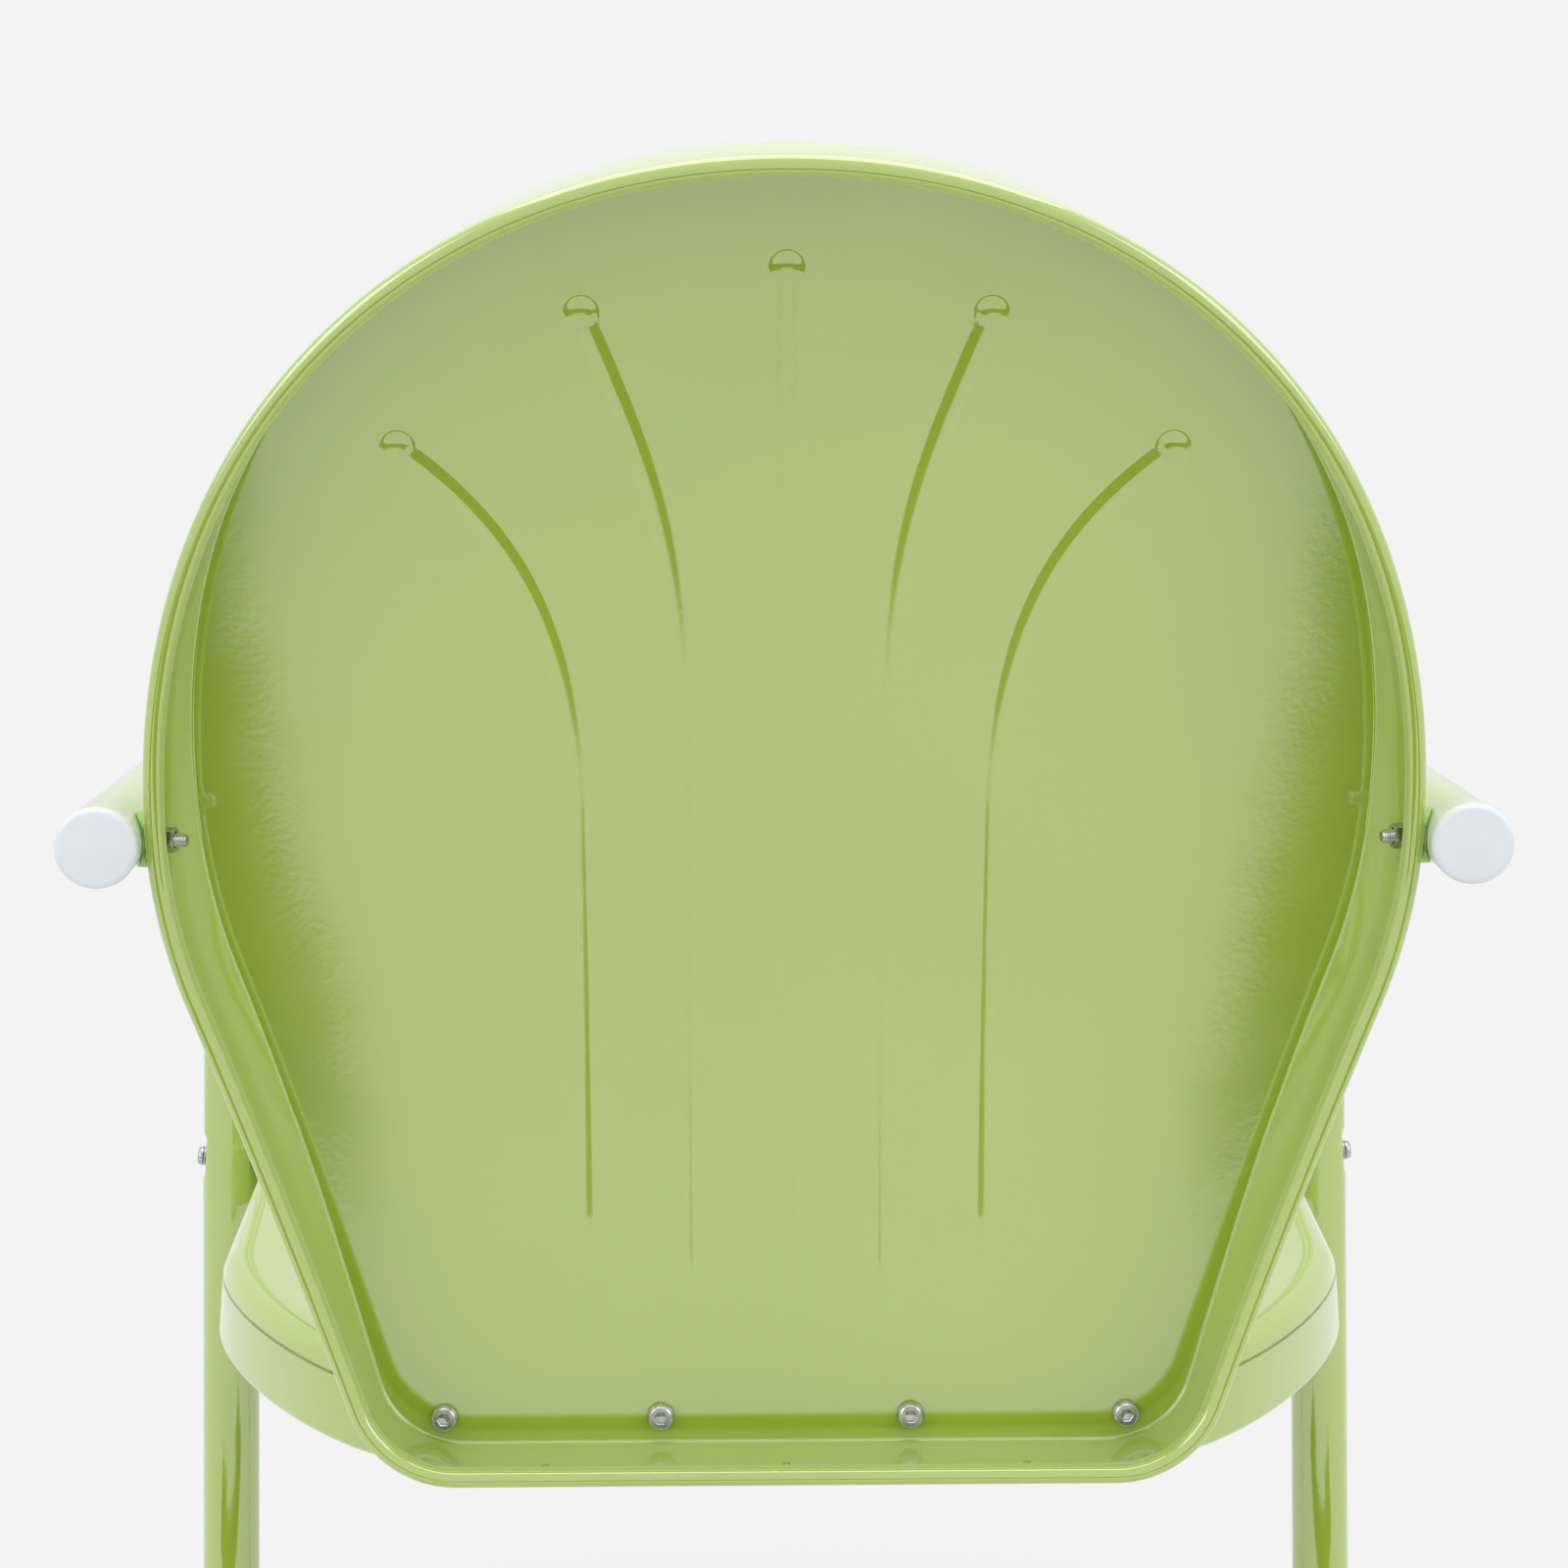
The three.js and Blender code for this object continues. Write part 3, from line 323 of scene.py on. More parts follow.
def moved(vertices, matrix):
    turn = np.array(matrix.to_3x3())
    return np.asarray(vertices, float) @ turn.T + np.array(matrix.translation)


def axis_matrix(origin, axis):
    return Matrix.Translation(origin) @ UP.rotation_difference(axis).to_matrix().to_4x4()


def hole_diameter(size):
    return size["shank"] + 2 * HOLE_CLEARANCE


def drill(obj, holes):
    """Cuts round holes, each given by centre, axis, diameter and its reach to either side."""
    vertices = []
    faces = []
    for centre, axis, diameter, back_reach, front_reach in holes:
        radius = diameter / 2
        profile = [(0, -back_reach), (radius, -back_reach), (radius, front_reach), (0, front_reach)]
        points, quads = lathe(profile, HOLE_SIDES)
        faces += [tuple(v + len(vertices) for v in face) for face in quads]
        vertices += moved(points, axis_matrix(centre, axis)).tolist()
    cutter = add_object("cutter", vertices, faces, obj.data.materials[0])
    modifier = obj.modifiers.new("holes", "BOOLEAN")
    modifier.operation = "DIFFERENCE"
    modifier.solver = "MANIFOLD"
    modifier.object = cutter
    depsgraph = bpy.context.evaluated_depsgraph_get()
    mesh = bpy.data.meshes.new_from_object(obj.evaluated_get(depsgraph))
    obj.modifiers.clear()
    old = obj.data
    obj.data = mesh
    bpy.data.meshes.remove(old)
    bpy.data.objects.remove(cutter)
    smooth(mesh)


# Pressed pans
def stretch(run, length, start, end):
    """Place and heading after some run along one straight or round stretch."""
    curl = (end - start) / length
    heading = start + curl * run
    if curl == 0:
        return run * math.cos(start), run * math.sin(start), heading
    y = (np.sin(heading) - math.sin(start)) / curl
    z = (math.cos(start) - np.cos(heading)) / curl
    return y, z, heading


class Pan:
    """A pressed sheet whose outline in (x, s) is carried on a side line in the Y-Z plane.

    Its skirt leans in from the lip by the draft. Past a rounded knee it may lean in further, up to some
    inset that is a function of s.
    """

    def __init__(self, origin, stretches, outline, skirt, bend, draft, knee_inset=None):
        self.origin = origin
        self.stretches = stretches
        self.outline = outline
        self.skirt = skirt
        self.bend = bend
        self.draft = draft
        self.slope_past_knee = np.zeros(len(outline))
        if knee_inset:
            self.slope_past_knee = knee_inset(outline[:, 1]) / self.knee_run(skirt - bend)
        self.lean = np.arctan(math.tan(draft) + self.slope_past_knee)
        self.bend_inset = self.wall_inset(skirt - bend) + bend / np.cos(self.lean)
        self.lip_inset = LIP_RADIUS * math.tan(draft) + LIP_RADIUS / math.cos(draft)

    def knee_run(self, height):
        past = max(height - BACK_KNEE_START, 0)
        return min(past, BACK_KNEE_LENGTH) ** 2 / (2 * BACK_KNEE_LENGTH) + max(past - BACK_KNEE_LENGTH, 0)

    def wall_inset(self, height):
        return height * math.tan(self.draft) + self.knee_run(height) * self.slope_past_knee

    def wall_profile(self, depth):
        """The skirt round its knee, from above down, on the face some depth inside the outer one."""
        rows = []
        for share in np.linspace(1, 0, KNEE_STEPS + 1):
            height = BACK_KNEE_START + share * BACK_KNEE_LENGTH
            lean = np.arctan(math.tan(self.draft) + share * self.slope_past_knee)
            rows.append((self.wall_inset(height) + depth * np.cos(lean), height - depth * np.sin(lean)))
        return rows

    def side(self, s):
        s = np.asarray(s, float)
        first, second = self.stretches
        y0, z0, h0 = stretch(s, *first)
        y1, z1, _ = stretch(first[0], *first)
        y2, z2, h2 = stretch(s - first[0], *second)
        near = s <= first[0]
        y = np.where(near, y0, y1 + y2)
        z = np.where(near, z0, z1 + z2)
        return y + self.origin.y, z + self.origin.z, np.where(near, h0, h2)

    def place(self, x, s, height):
        y, z, heading = self.side(s)
        x = np.broadcast_to(np.asarray(x, float), y.shape)
        return np.stack([x, y - np.sin(heading) * height, z + np.cos(heading) * height], -1)

    def point(self, x, s, height):
        return Vector(self.place(x, s, height))

    def normal(self, s):
        heading = float(self.side(s)[2])
        return Vector((0, -math.sin(heading), math.cos(heading)))

    def direction(self, s):
        heading = float(self.side(s)[2])
        return Vector((0, math.cos(heading), math.sin(heading)))

    def inset(self, amount):
        loop = self.outline
        run = np.roll(loop, -1, 0) - np.roll(loop, 1, 0)
        run /= np.linalg.norm(run, axis=1, keepdims=True)
        return loop + np.stack([-run[:, 1], run[:, 0]], 1) * np.asarray(amount).reshape(-1, 1)

    def rings(self, profile):
        rows = []
        for amount, height in profile:
            edge = self.inset(amount)
            rows.append(self.place(edge[:, 0], edge[:, 1], height))
        return rows

    def bend_profile(self, radius, steps):
        angles = [(math.pi / 2 - self.lean) * k / steps for k in range(1, steps + 1)]
        top = self.skirt - self.bend
        return [(self.bend_inset - radius * np.sin(a), top + radius * np.cos(a)) for a in angles]

    def lip_profile(self, radius, steps):
        angles = -self.draft + (math.pi + self.draft) * np.arange(steps + 1) / steps
        return [(self.lip_inset - radius * math.cos(a), LIP_RADIUS - radius * math.sin(a)) for a in angles]

    def edge_profile(self):
        """From the end of the top's outer face, round the lip, to the end of its hidden face."""
        outside = self.bend_profile(self.bend, BEND_STEPS) + self.wall_profile(0)
        outside += self.lip_profile(LIP_RADIUS, LIP_STEPS)
        end = self.lip_inset + LIP_RADIUS
        top = LIP_RADIUS + LIP_RETURN
        cut = [(end, top - EDGE_ROUND), (end - EDGE_ROUND, top)]
        cut += [(end - SHEET + EDGE_ROUND, top), (end - SHEET, top - EDGE_ROUND)]
        hidden = self.bend_profile(self.bend - SHEET, HIDDEN_BEND_STEPS) + self.wall_profile(SHEET)
        hidden += self.lip_profile(LIP_RADIUS - SHEET, HIDDEN_LIP_STEPS)
        return outside + cut + hidden[::-1]

    def skirt_point(self, x, s, run, height):
        """A point on the outer face of the skirt, with the direction square to that face."""
        slope = math.tan(self.draft)
        axis = Vector((run[1], 0, 0)) - self.direction(s) * run[0] + self.normal(s) * slope
        slip = height * slope
        return self.point(x - run[1] * slip, s + run[0] * slip, height), axis.normalized()


def cubic(a, b, c, d, steps):
    t = np.linspace(0, 1, steps + 1).reshape(-1, 1)
    a, b, c, d = (np.asarray(p, float) for p in (a, b, c, d))
    return (1 - t) ** 3 * a + 3 * t * (1 - t) ** 2 * b + 3 * t ** 2 * (1 - t) * c + t ** 3 * d


def even_line(points, step, rounding=round):
    """Points about a step apart along a line, with the run to each of them."""
    runs = np.concatenate([[0], np.cumsum(np.linalg.norm(np.diff(points, axis=0), axis=1))])
    even = np.linspace(0, runs[-1], int(rounding(runs[-1] / step)) + 1)
    return np.stack([np.interp(even, runs, points[:, i]) for i in range(2)], 1), even


def even_loop(half, step):
    """Spaces a half outline evenly and completes it across the middle line."""
    points, _ = even_line(half, step)
    points[0, 0] = points[-1, 0] = 0
    return np.concatenate([points, points[-2:0:-1] * (-1, 1)])


def crown(half_width, rise, power_share):
    """A quarter of a rounded outline, from its widest place to the middle line."""
    angles = np.linspace(0, math.pi / 2, 400)
    power = 2 / power_share
    across = half_width * np.maximum(np.cos(angles), 0) ** power
    return np.stack([across, rise * np.sin(angles) ** power], 1)


def arc(centre, radius, start, end):
    angles = np.linspace(start, end, 80)
    return np.array(centre) + radius * np.stack([np.cos(angles), np.sin(angles)], 1)


def seat_half_outline():
    half = SEAT_WIDTH / 2
    front = crown(half, -SEAT_SHOULDER, SEAT_FRONT_POWER_SHARE)[::-1] + (0, SEAT_SHOULDER)
    slant = math.tan(SEAT_SIDE_TAPER)
    start_s = SEAT_LENGTH - SEAT_CORNER
    start = np.array([half - (start_s - SEAT_SHOULDER) * slant, start_s])
    tip = np.array([half - (SEAT_LENGTH - SEAT_SHOULDER) * slant, SEAT_LENGTH])
    end = np.array([SEAT_REAR_FLAT / 2, SEAT_LENGTH])
    pulls = [place + (tip - place) * SEAT_CORNER_PULL_SHARE for place in (start, end)]
    corner = cubic(start, *pulls, end, 120)
    return np.concatenate([front, corner, [[0, SEAT_LENGTH]]])


def back_half_outline():
    half = BACK_WIDTH / 2
    side = arc((half - BACK_TAPER_RADIUS, BACK_WIDEST), BACK_TAPER_RADIUS, -BACK_TAPER, 0)
    foot_x = side[0, 0] - side[0, 1] * math.tan(BACK_TAPER)
    centre_x = foot_x - BACK_CORNER_RADIUS * math.tan((math.pi / 2 - BACK_TAPER) / 2)
    corner = arc((centre_x, BACK_CORNER_RADIUS), BACK_CORNER_RADIUS, -math.pi / 2, -BACK_TAPER)
    top = crown(half, BACK_HEIGHT - BACK_WIDEST, BACK_CROWN_POWER_SHARE)[1:] + (0, BACK_WIDEST)
    return np.concatenate([[[0, 0]], corner, side, top])


def back_knee_inset(s):
    """The back's skirt leans in most at its sides, a little below its widest place."""
    away = np.minimum(np.abs(s - BACK_KNEE_MIDDLE) / BACK_KNEE_REACH, 1)
    return BACK_KNEE_INSET * (1 - away * away) ** BACK_KNEE_POWER_SHARE


seat_stretches = [
    (SEAT_FRONT_CURVE, SEAT_FRONT_LIFT, -SEAT_TILT),
    (SEAT_LENGTH - SEAT_FRONT_CURVE, -SEAT_TILT, -SEAT_TILT),
]
seat = Pan(
    Vector((0, 0, 0)), seat_stretches, even_loop(seat_half_outline(), SEAT_OUTLINE_STEP),
    SEAT_SKIRT, SEAT_BEND, SEAT_DRAFT,
)
seat_end = seat.point(0, SEAT_LENGTH, 0)
seat.origin = Vector((0, -seat_end.y, SEAT_REAR_HEIGHT - seat_end.z))

foot_tilt = SEAT_TILT - SEAT_DRAFT
foot_up = Vector((0, math.sin(foot_tilt), math.cos(foot_tilt)))
foot_out = Vector((0, math.cos(foot_tilt), -math.sin(foot_tilt)))
back_origin = Vector((0, 0, SEAT_REAR_HEIGHT)) + foot_out * (BACK_SKIRT + GAP) + foot_up * BACK_FOOT_RISE
back_stretches = [
    (BACK_FOOT, math.pi / 2 - foot_tilt, math.pi / 2 - foot_tilt),
    (BACK_HEIGHT - BACK_FOOT, math.pi / 2 - foot_tilt, math.pi / 2 - BACK_TOP_TILT),
]
back = Pan(
    back_origin, back_stretches, even_loop(back_half_outline(), BACK_OUTLINE_STEP),
    BACK_SKIRT, BACK_BEND, BACK_DRAFT, back_knee_inset,
)

# Where the bolts and screws cross the pans, on the sitter's left
screw_spots = [-BACK_SCREW_OUTER, -BACK_SCREW_INNER, BACK_SCREW_INNER, BACK_SCREW_OUTER]
taper_run = (-math.sin(SEAT_TAPER), math.cos(SEAT_TAPER))
leg_x = SEAT_WIDTH / 2 - (LEG_FROM_FRONT - SEAT_SHOULDER) * math.tan(SEAT_TAPER)
leg_point, leg_axis = seat.skirt_point(leg_x, LEG_FROM_FRONT, taper_run, LEG_BOLT_RISE)
arm_turn = ARM_BOLT_DROP / (BACK_WIDTH / 2)
arm_x = BACK_WIDTH / 2 * math.cos(arm_turn)
arm_side = (math.sin(arm_turn), math.cos(arm_turn))
arm_point, arm_axis = back.skirt_point(arm_x, BACK_WIDEST - ARM_BOLT_DROP, arm_side, ARM_BOLT_FROM_LIP)

leg_centre = leg_point + leg_axis * (LEG_STANDOFF + TUBE_RADIUS)
toe = math.atan2(leg_centre.x - arm_point.x - TUBE_RADIUS, arm_point.y - leg_centre.y)
arm_standoff = ARM_LIP_CLEARANCE + ARM_BOLT_FROM_LIP * math.sin(BACK_DRAFT + toe) + GAP
arm_centre = arm_point + arm_axis * (arm_standoff + TUBE_RADIUS)

# The side frame's path in its own upright plane
frame_run = Vector((arm_centre.x - leg_centre.x, arm_centre.y - leg_centre.y, 0)).normalized()
frame_normal = Vector((frame_run.y, -frame_run.x, 0))
runner_height = GLIDE_PAD + GAP + TUBE_RADIUS
arm_run = frame_run * math.cos(ARM_RISE) - UP * math.sin(ARM_RISE)
leg_run = frame_run * math.sin(LEG_RAKE) - UP * math.cos(LEG_RAKE)


def crossing(point_a, run_a, point_b, run_b):
    """Where two lines in the side frame's plane meet."""
    gap = point_b - point_a
    flat_gap = Vector((gap.dot(frame_run), gap.z))
    a = Vector((run_a.dot(frame_run), run_a.z))
    b = Vector((run_b.dot(frame_run), run_b.z))
    return point_a + run_a * (flat_gap.cross(b) / a.cross(b))


arm_corner = crossing(arm_centre, arm_run, leg_centre, leg_run)
foot_corner = crossing(leg_centre, leg_run, Vector((leg_centre.x, leg_centre.y, runner_height)), frame_run)
arm_rear = arm_centre + arm_run * ARM_END
runner_rear = foot_corner + frame_run * RUNNER_END
joint_point = runner_rear - frame_run * (SPIGOT_LENGTH / 2)
foot_reach = FOOT_BEND_RADIUS * math.tan((math.pi / 2 - LEG_RAKE) / 2)
front_glide = foot_corner + frame_run * (foot_reach + GLIDE_FROM_BEND)
bar_corner = foot_corner + frame_run * BASE_REAR
rear_glide = Vector((GLIDE_REAR_SPREAD / 2, bar_corner.y, runner_height))

# Pieces are made about the middle of the seat's rear edge. This is how far that lies from the frame's origin.
glide_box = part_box("floor_glide_rear_left")
SHIFT = Vector((0, (glide_box[0].y + glide_box[1].y) / 2 - rear_glide.y, 0))


def on_side(vector, sign):
    """A place or direction of the left side, or its mirror image on the right where the sign is -1."""
    return Vector((sign * vector.x, vector.y, vector.z))


def mirror(vector):
    return on_side(vector, -1)


# Materials
def linear(red, green, blue):
    """Colour for a shader from its sRGB values, 0 to 255."""
    def channel(value):
        value /= 255
        return value / 12.92 if value <= 0.04045 else ((value + 0.055) / 1.055) ** 2.4
    return (channel(red), channel(green), channel(blue), 1)


def new_material(name):
    material = bpy.data.materials.new(name)
    material.use_nodes = True
    tree = material.node_tree
    return material, tree, tree.nodes["Principled BSDF"]


def fill(tree, node, inputs):
    """Sets inputs of a node, each to a value or to the output that it's linked with."""
    for name, value in inputs.items():
        if isinstance(value, bpy.types.NodeSocket):
            tree.links.new(value, node.inputs[name])
        else:
            node.inputs[name].default_value = value


def add_node(tree, kind, inputs, **settings):
    node = tree.nodes.new("ShaderNode" + kind)
    for name, value in settings.items():
        setattr(node, name, value)
    fill(tree, node, inputs)
    return node


def object_place(tree):
    return add_node(tree, "TexCoord", {}).outputs["Object"]


def noise(tree, scale, detail):
    inputs = {"Vector": object_place(tree), "Scale": scale, "Detail": detail}
    return add_node(tree, "TexNoise", inputs).outputs["Fac"]


def make_finish(name, colour, roughness, bumps, others):
    """A material whose colour, roughness and fine bumps come from noise, each with its own scale and detail.

    The colour is (noise, one, other), the roughness (noise, low, high), a bump (noise, distance, strength).
    """
    material, tree, shader = new_material(name)
    ramp = add_node(tree, "ValToRGB", {"Fac": noise(tree, *colour[0])})
    for element, position, shade in zip(ramp.color_ramp.elements, (0.35, 0.65), colour[1:]):
        element.position = position
        element.color = linear(*shade)
    limits = {"To Min": roughness[1], "To Max": roughness[2]}
    spread = add_node(tree, "MapRange", {"Value": noise(tree, *roughness[0]), **limits})
    surface = {"Base Color": ramp.outputs["Color"], "Roughness": spread.outputs["Result"], **others}
    for grain, distance, strength in bumps:
        inputs = {"Height": noise(tree, *grain), "Distance": distance, "Strength": strength}
        if "Normal" in surface:
            inputs["Normal"] = surface["Normal"]
        surface["Normal"] = add_node(tree, "Bump", inputs).outputs["Normal"]
    fill(tree, shader, surface)
    return material


PAINT = make_finish(
    "green_paint",
    colour=((5, 3), (160, 189, 55), (166, 194, 61)),
    roughness=((30, 3), 0.05, 0.08),
    bumps=[((9, 2), 0.002, 0.10), ((380, 2), 0.00004, 0.2)],
    others={"IOR": 2.6, "Sheen Weight": 1.0, "Sheen Roughness": 0.4},
)
SPACER_GREEN = make_finish(
    "green_plastic",
    colour=((60, 2), (150, 196, 78), (160, 202, 90)),
    roughness=((250, 2), 0.34, 0.46),
    bumps=[((1400, 2), 0.00004, 0.4)],
    others={},
)
WHITE = make_finish(
    "white_plastic",
    colour=((45, 2), (224, 230, 236), (229, 234, 239)),
    roughness=((200, 2), 0.30, 0.42),
    bumps=[((1100, 2), 0.00004, 0.35)],
    others={"Subsurface Weight": 0.15, "Subsurface Radius": (0.004, 0.004, 0.004)},
)
STEEL = make_finish(
    "plated_steel",
    colour=((300, 2), (178, 180, 182), (205, 206, 206)),
    roughness=((700, 4), 0.16, 0.34),
    bumps=[((2600, 3), 0.00002, 0.5)],
    others={"Metallic": 1},
)


def finish_piece(obj, node):
    """Puts a piece made about the seat's rear into the frame, in the place of its node."""
    obj.data.transform(Matrix.Translation(SHIFT))
    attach(obj, "root")
    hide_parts(node)


def add_turned(node, body, origin, axis, material):
    """Adds a piece that is drawn about +Z, at its place and along its axis."""
    vertices, faces = body
    obj = add_object(node + "_skin", moved(vertices, axis_matrix(origin, axis)), faces, material)
    finish_piece(obj, node)


# Back shell
def rib_lines():
    """Each rib's middle line as points a millimetre apart, with the run to each point and its direction."""
    def bent(x, foot, turn, top, spread, lean):
        reach = top - turn
        end = np.array([x + spread, top])
        pull = end - np.array([math.sin(lean), math.cos(lean)]) * reach * RIB_REACH_SHARES[1]
        curve = cubic((x, turn), (x, turn + reach * RIB_REACH_SHARES[0]), pull, end, 200)
        return np.concatenate([[[x, foot]], curve])

    inner = bent(RIB_PITCH, RIB_CENTRE_FOOT, RIB_INNER_TURN, RIB_INNER_TOP, RIB_INNER_SPREAD, RIB_INNER_LEAN)
    outer = bent(
        2 * RIB_PITCH, RIB_OUTER_FOOT, RIB_OUTER_TURN, RIB_OUTER_TOP, RIB_OUTER_SPREAD, RIB_OUTER_LEAN,
    )
    centre = np.array([[0, RIB_CENTRE_FOOT], [0, RIB_CENTRE_TOP]], float)
    ribs = []
    for points in (centre, inner, inner * (-1, 1), outer, outer * (-1, 1)):
        line, runs = even_line(points, RIB_STEP, math.floor)
        tangents = np.gradient(line, axis=0)
        ribs.append((line, runs, tangents / np.linalg.norm(tangents, axis=1, keepdims=True)))
    return ribs


RIBS = rib_lines()


def pressed_height(x, s, widening=0.0):
    """How far the ribs and pits stand off the panel. The outer face takes them wider by about the sheet."""
    points = np.stack([x, s], 1)
    total = np.zeros(len(points))
    pit = PIT_DIAMETER / 2 + widening
    for line, runs, tangents in RIBS:
        low = line.min(0) - 2 * PIT_DIAMETER
        high = line.max(0) + 2 * PIT_DIAMETER
        near = np.nonzero(np.all((points > low) & (points < high), axis=1))[0]
        if not len(near):
            continue
        offset = points[near, None, :] - line[None, :, :]
        nearest = np.argmin(np.sum(offset ** 2, axis=2), axis=1)
        gap = points[near] - line[nearest]
        tangent = tangents[nearest]
        step = np.sum(gap * tangent, axis=1)
        run = runs[nearest] + step
        across = np.abs(gap[:, 0] * tangent[:, 1] - gap[:, 1] * tangent[:, 0])
        ends = (run < 0) | (run > runs[-1])
        distance = np.where(ends, np.linalg.norm(gap, axis=1), across)
        share = RIB_START_SHARE + (1 - RIB_START_SHARE) * np.clip(run / RIB_FADE, 0, 1)
        wide = (RIB_WIDTH / 2 + RIB_SHOULDER) * share + widening
        groove = RIB_DEPTH * share * np.clip(1 - (distance / wide) ** 2, 0, 1) ** RIB_POWER_SHARE
        to_pit = np.linalg.norm(points[near] - line[-1], axis=1)
        hollow = PIT_DEPTH * np.clip(1 - (to_pit / (pit + RIB_SHOULDER)) ** 2, 0, 1) ** PIT_POWER_SHARE
        total[near] = np.maximum(total[near], np.maximum(groove, hollow))
    return total


def panel_points(boundary):
    """Points over the back's panel: close along the ribs, round the pits and screws, and sparse elsewhere."""
    groups = [boundary]
    for line, runs, tangents in RIBS:
        normals = np.stack([-tangents[:, 1], tangents[:, 0]], 1)
        picked = np.nonzero(runs < runs[-1] - (PIT_DIAMETER / 2 + RIB_ROWS_END))[0][::2]
        groups.append(line[picked])
        for offset in RIB_OFFSETS:
            groups.append(line[picked] + normals[picked] * offset)
            groups.append(line[picked] - normals[picked] * offset)
        outward = math.atan2(-tangents[0, 1], -tangents[0, 0])
        fan = outward + ((np.arange(RIB_FOOT_SIDES) + 0.5) / RIB_FOOT_SIDES - 0.5) * math.pi
        for offset in RIB_OFFSETS:
            groups.append(line[0] + offset * np.stack([np.cos(fan), np.sin(fan)], 1))
        for radius in np.linspace(PIT_FIRST_RING, PIT_DIAMETER / 2 + PIT_LAST_RING, PIT_RINGS):
            groups.append(line[-1] + radius * unit_circle(PIT_SIDES))
        groups.append(line[-1:])
    hole_radius = hole_diameter(M6) / 2
    screws = np.array([(x, BACK_SCREW_RISE) for x in screw_spots])
    holes = [screw + unit_circle(HOLE_SIDES) * hole_radius for screw in screws]
    xs = np.arange(-BACK_WIDTH / 2, BACK_WIDTH / 2, PANEL_STEP)
    ss = np.arange(0, BACK_HEIGHT, PANEL_STEP)
    grid = np.stack(np.meshgrid(xs, ss), -1).reshape(-1, 2)
    clear = inside(grid, boundary)
    for others, gap in (
        (boundary, PANEL_RIM_GAP),
        (np.concatenate([line[::4] for line, _, _ in RIBS]), RIB_OFFSETS[-1] + PANEL_ROW_GAP),
        (np.array([line[-1] for line, _, _ in RIBS]), PIT_DIAMETER),
        (np.concatenate(holes), PANEL_ROW_GAP),
        (screws, hole_radius),
    ):
        clear &= nearest_gap(grid, others) > gap
    groups.append(grid[clear])
    return groups, holes


def inside(points, loop):
    """Which points lie inside a closed loop."""
    x, y = points[:, 0], points[:, 1]
    result = np.zeros(len(points), bool)
    for a, b in zip(loop, np.roll(loop, -1, 0)):
        crosses = (a[1] > y) != (b[1] > y)
        if a[1] != b[1]:
            result ^= crosses & (x < (b[0] - a[0]) * (y - a[1]) / (b[1] - a[1]) + a[0])
    return result


def nearest_gap(points, others):
    result = np.full(len(points), np.inf)
    for start in range(0, len(others), 200):
        part = others[start:start + 200]
        gaps = np.linalg.norm(points[:, None, :] - part[None, :, :], axis=2)
        result = np.minimum(result, gaps.min(1))
    return result


def loop_edges(loop):
    return list(zip(loop, loop[1:] + loop[:1]))


def back_mesh():
    """The closed sheet of the back: front panel, bend, skirt, lip, and the same again behind."""
    boundary = back.inset(back.bend_inset)
    groups, holes = panel_points(boundary)
    flat = np.concatenate(groups + holes)
    rim = list(range(len(boundary)))
    first_hole = len(flat) - len(holes) * HOLE_SIDES
    hole_loops = np.arange(first_hole, len(flat)).reshape(-1, HOLE_SIDES).tolist()
    edges = [edge for loop in [rim] + hole_loops for edge in loop_edges(loop)]
    found = delaunay_2d_cdt([Vector(p) for p in flat], edges, [rim], 1, 1e-7)
    points = np.array([tuple(v) for v in found[0]])
    new_number = {}
    for number, sources in enumerate(found[3]):
        for source in sources:
            new_number[source] = number
    triangles = np.array([tuple(face) for face in found[2]])
    corners = points[triangles]
    side_a = corners[:, 1] - corners[:, 0]
    side_b = corners[:, 2] - corners[:, 0]
    turned = side_a[:, 0] * side_b[:, 1] - side_a[:, 1] * side_b[:, 0] < 0
    triangles[turned] = triangles[turned][:, ::-1]
    screws = np.array([(x, BACK_SCREW_RISE) for x in screw_spots])
    triangles = triangles[nearest_gap(corners.mean(1), screws) > hole_diameter(M6) / 2]

    x, s = points[:, 0], points[:, 1]
    front = back.place(x, s, BACK_SKIRT + pressed_height(x, s, RIB_OUTER_WIDENING))
    rear = back.place(x, s, BACK_SKIRT - SHEET + pressed_height(x, s))
    rings = back.rings(back.edge_profile())
    behind = len(points)
    faces = [tuple(face) for face in triangles.tolist()]
    faces += [tuple(face[::-1]) for face in (triangles + behind).tolist()]
    rows = (np.arange(len(rings) * len(rim)) + 2 * behind).reshape(-1, len(rim)).tolist()
    rows.insert(0, [new_number[k] for k in rim])
    rows.append([new_number[k] + behind for k in rim])
    faces += stitch(rows[::-1], False)
    for loop in hole_loops:
        for a, b in loop_edges([new_number[k] for k in loop]):
            faces.append((a, b, b + behind, a + behind))
    return np.concatenate([front, rear] + rings), faces


def back_coordinates(places):
    """The (x, s, height) of points given in space, the reverse of the back's place."""
    y = places[:, 1] - back.origin.y
    z = places[:, 2] - back.origin.z
    foot, start, _ = back.stretches[0]
    along = y * math.cos(start) + z * math.sin(start)
    lift = -y * math.sin(start) + z * math.cos(start)
    length, _, end = back.stretches[1]
    curl = (end - start) / length
    centre_y = foot * math.cos(start) - math.sin(start) / curl
    centre_z = foot * math.sin(start) + math.cos(start) / curl
    heading = np.arctan2(-(y - centre_y), z - centre_z)
    radius = np.hypot(y - centre_y, z - centre_z)
    straight = along <= foot
    s = np.where(straight, along, foot + (heading - start) / curl)
    height = np.where(straight, lift, radius + 1 / curl)
    return places[:, 0], s, height


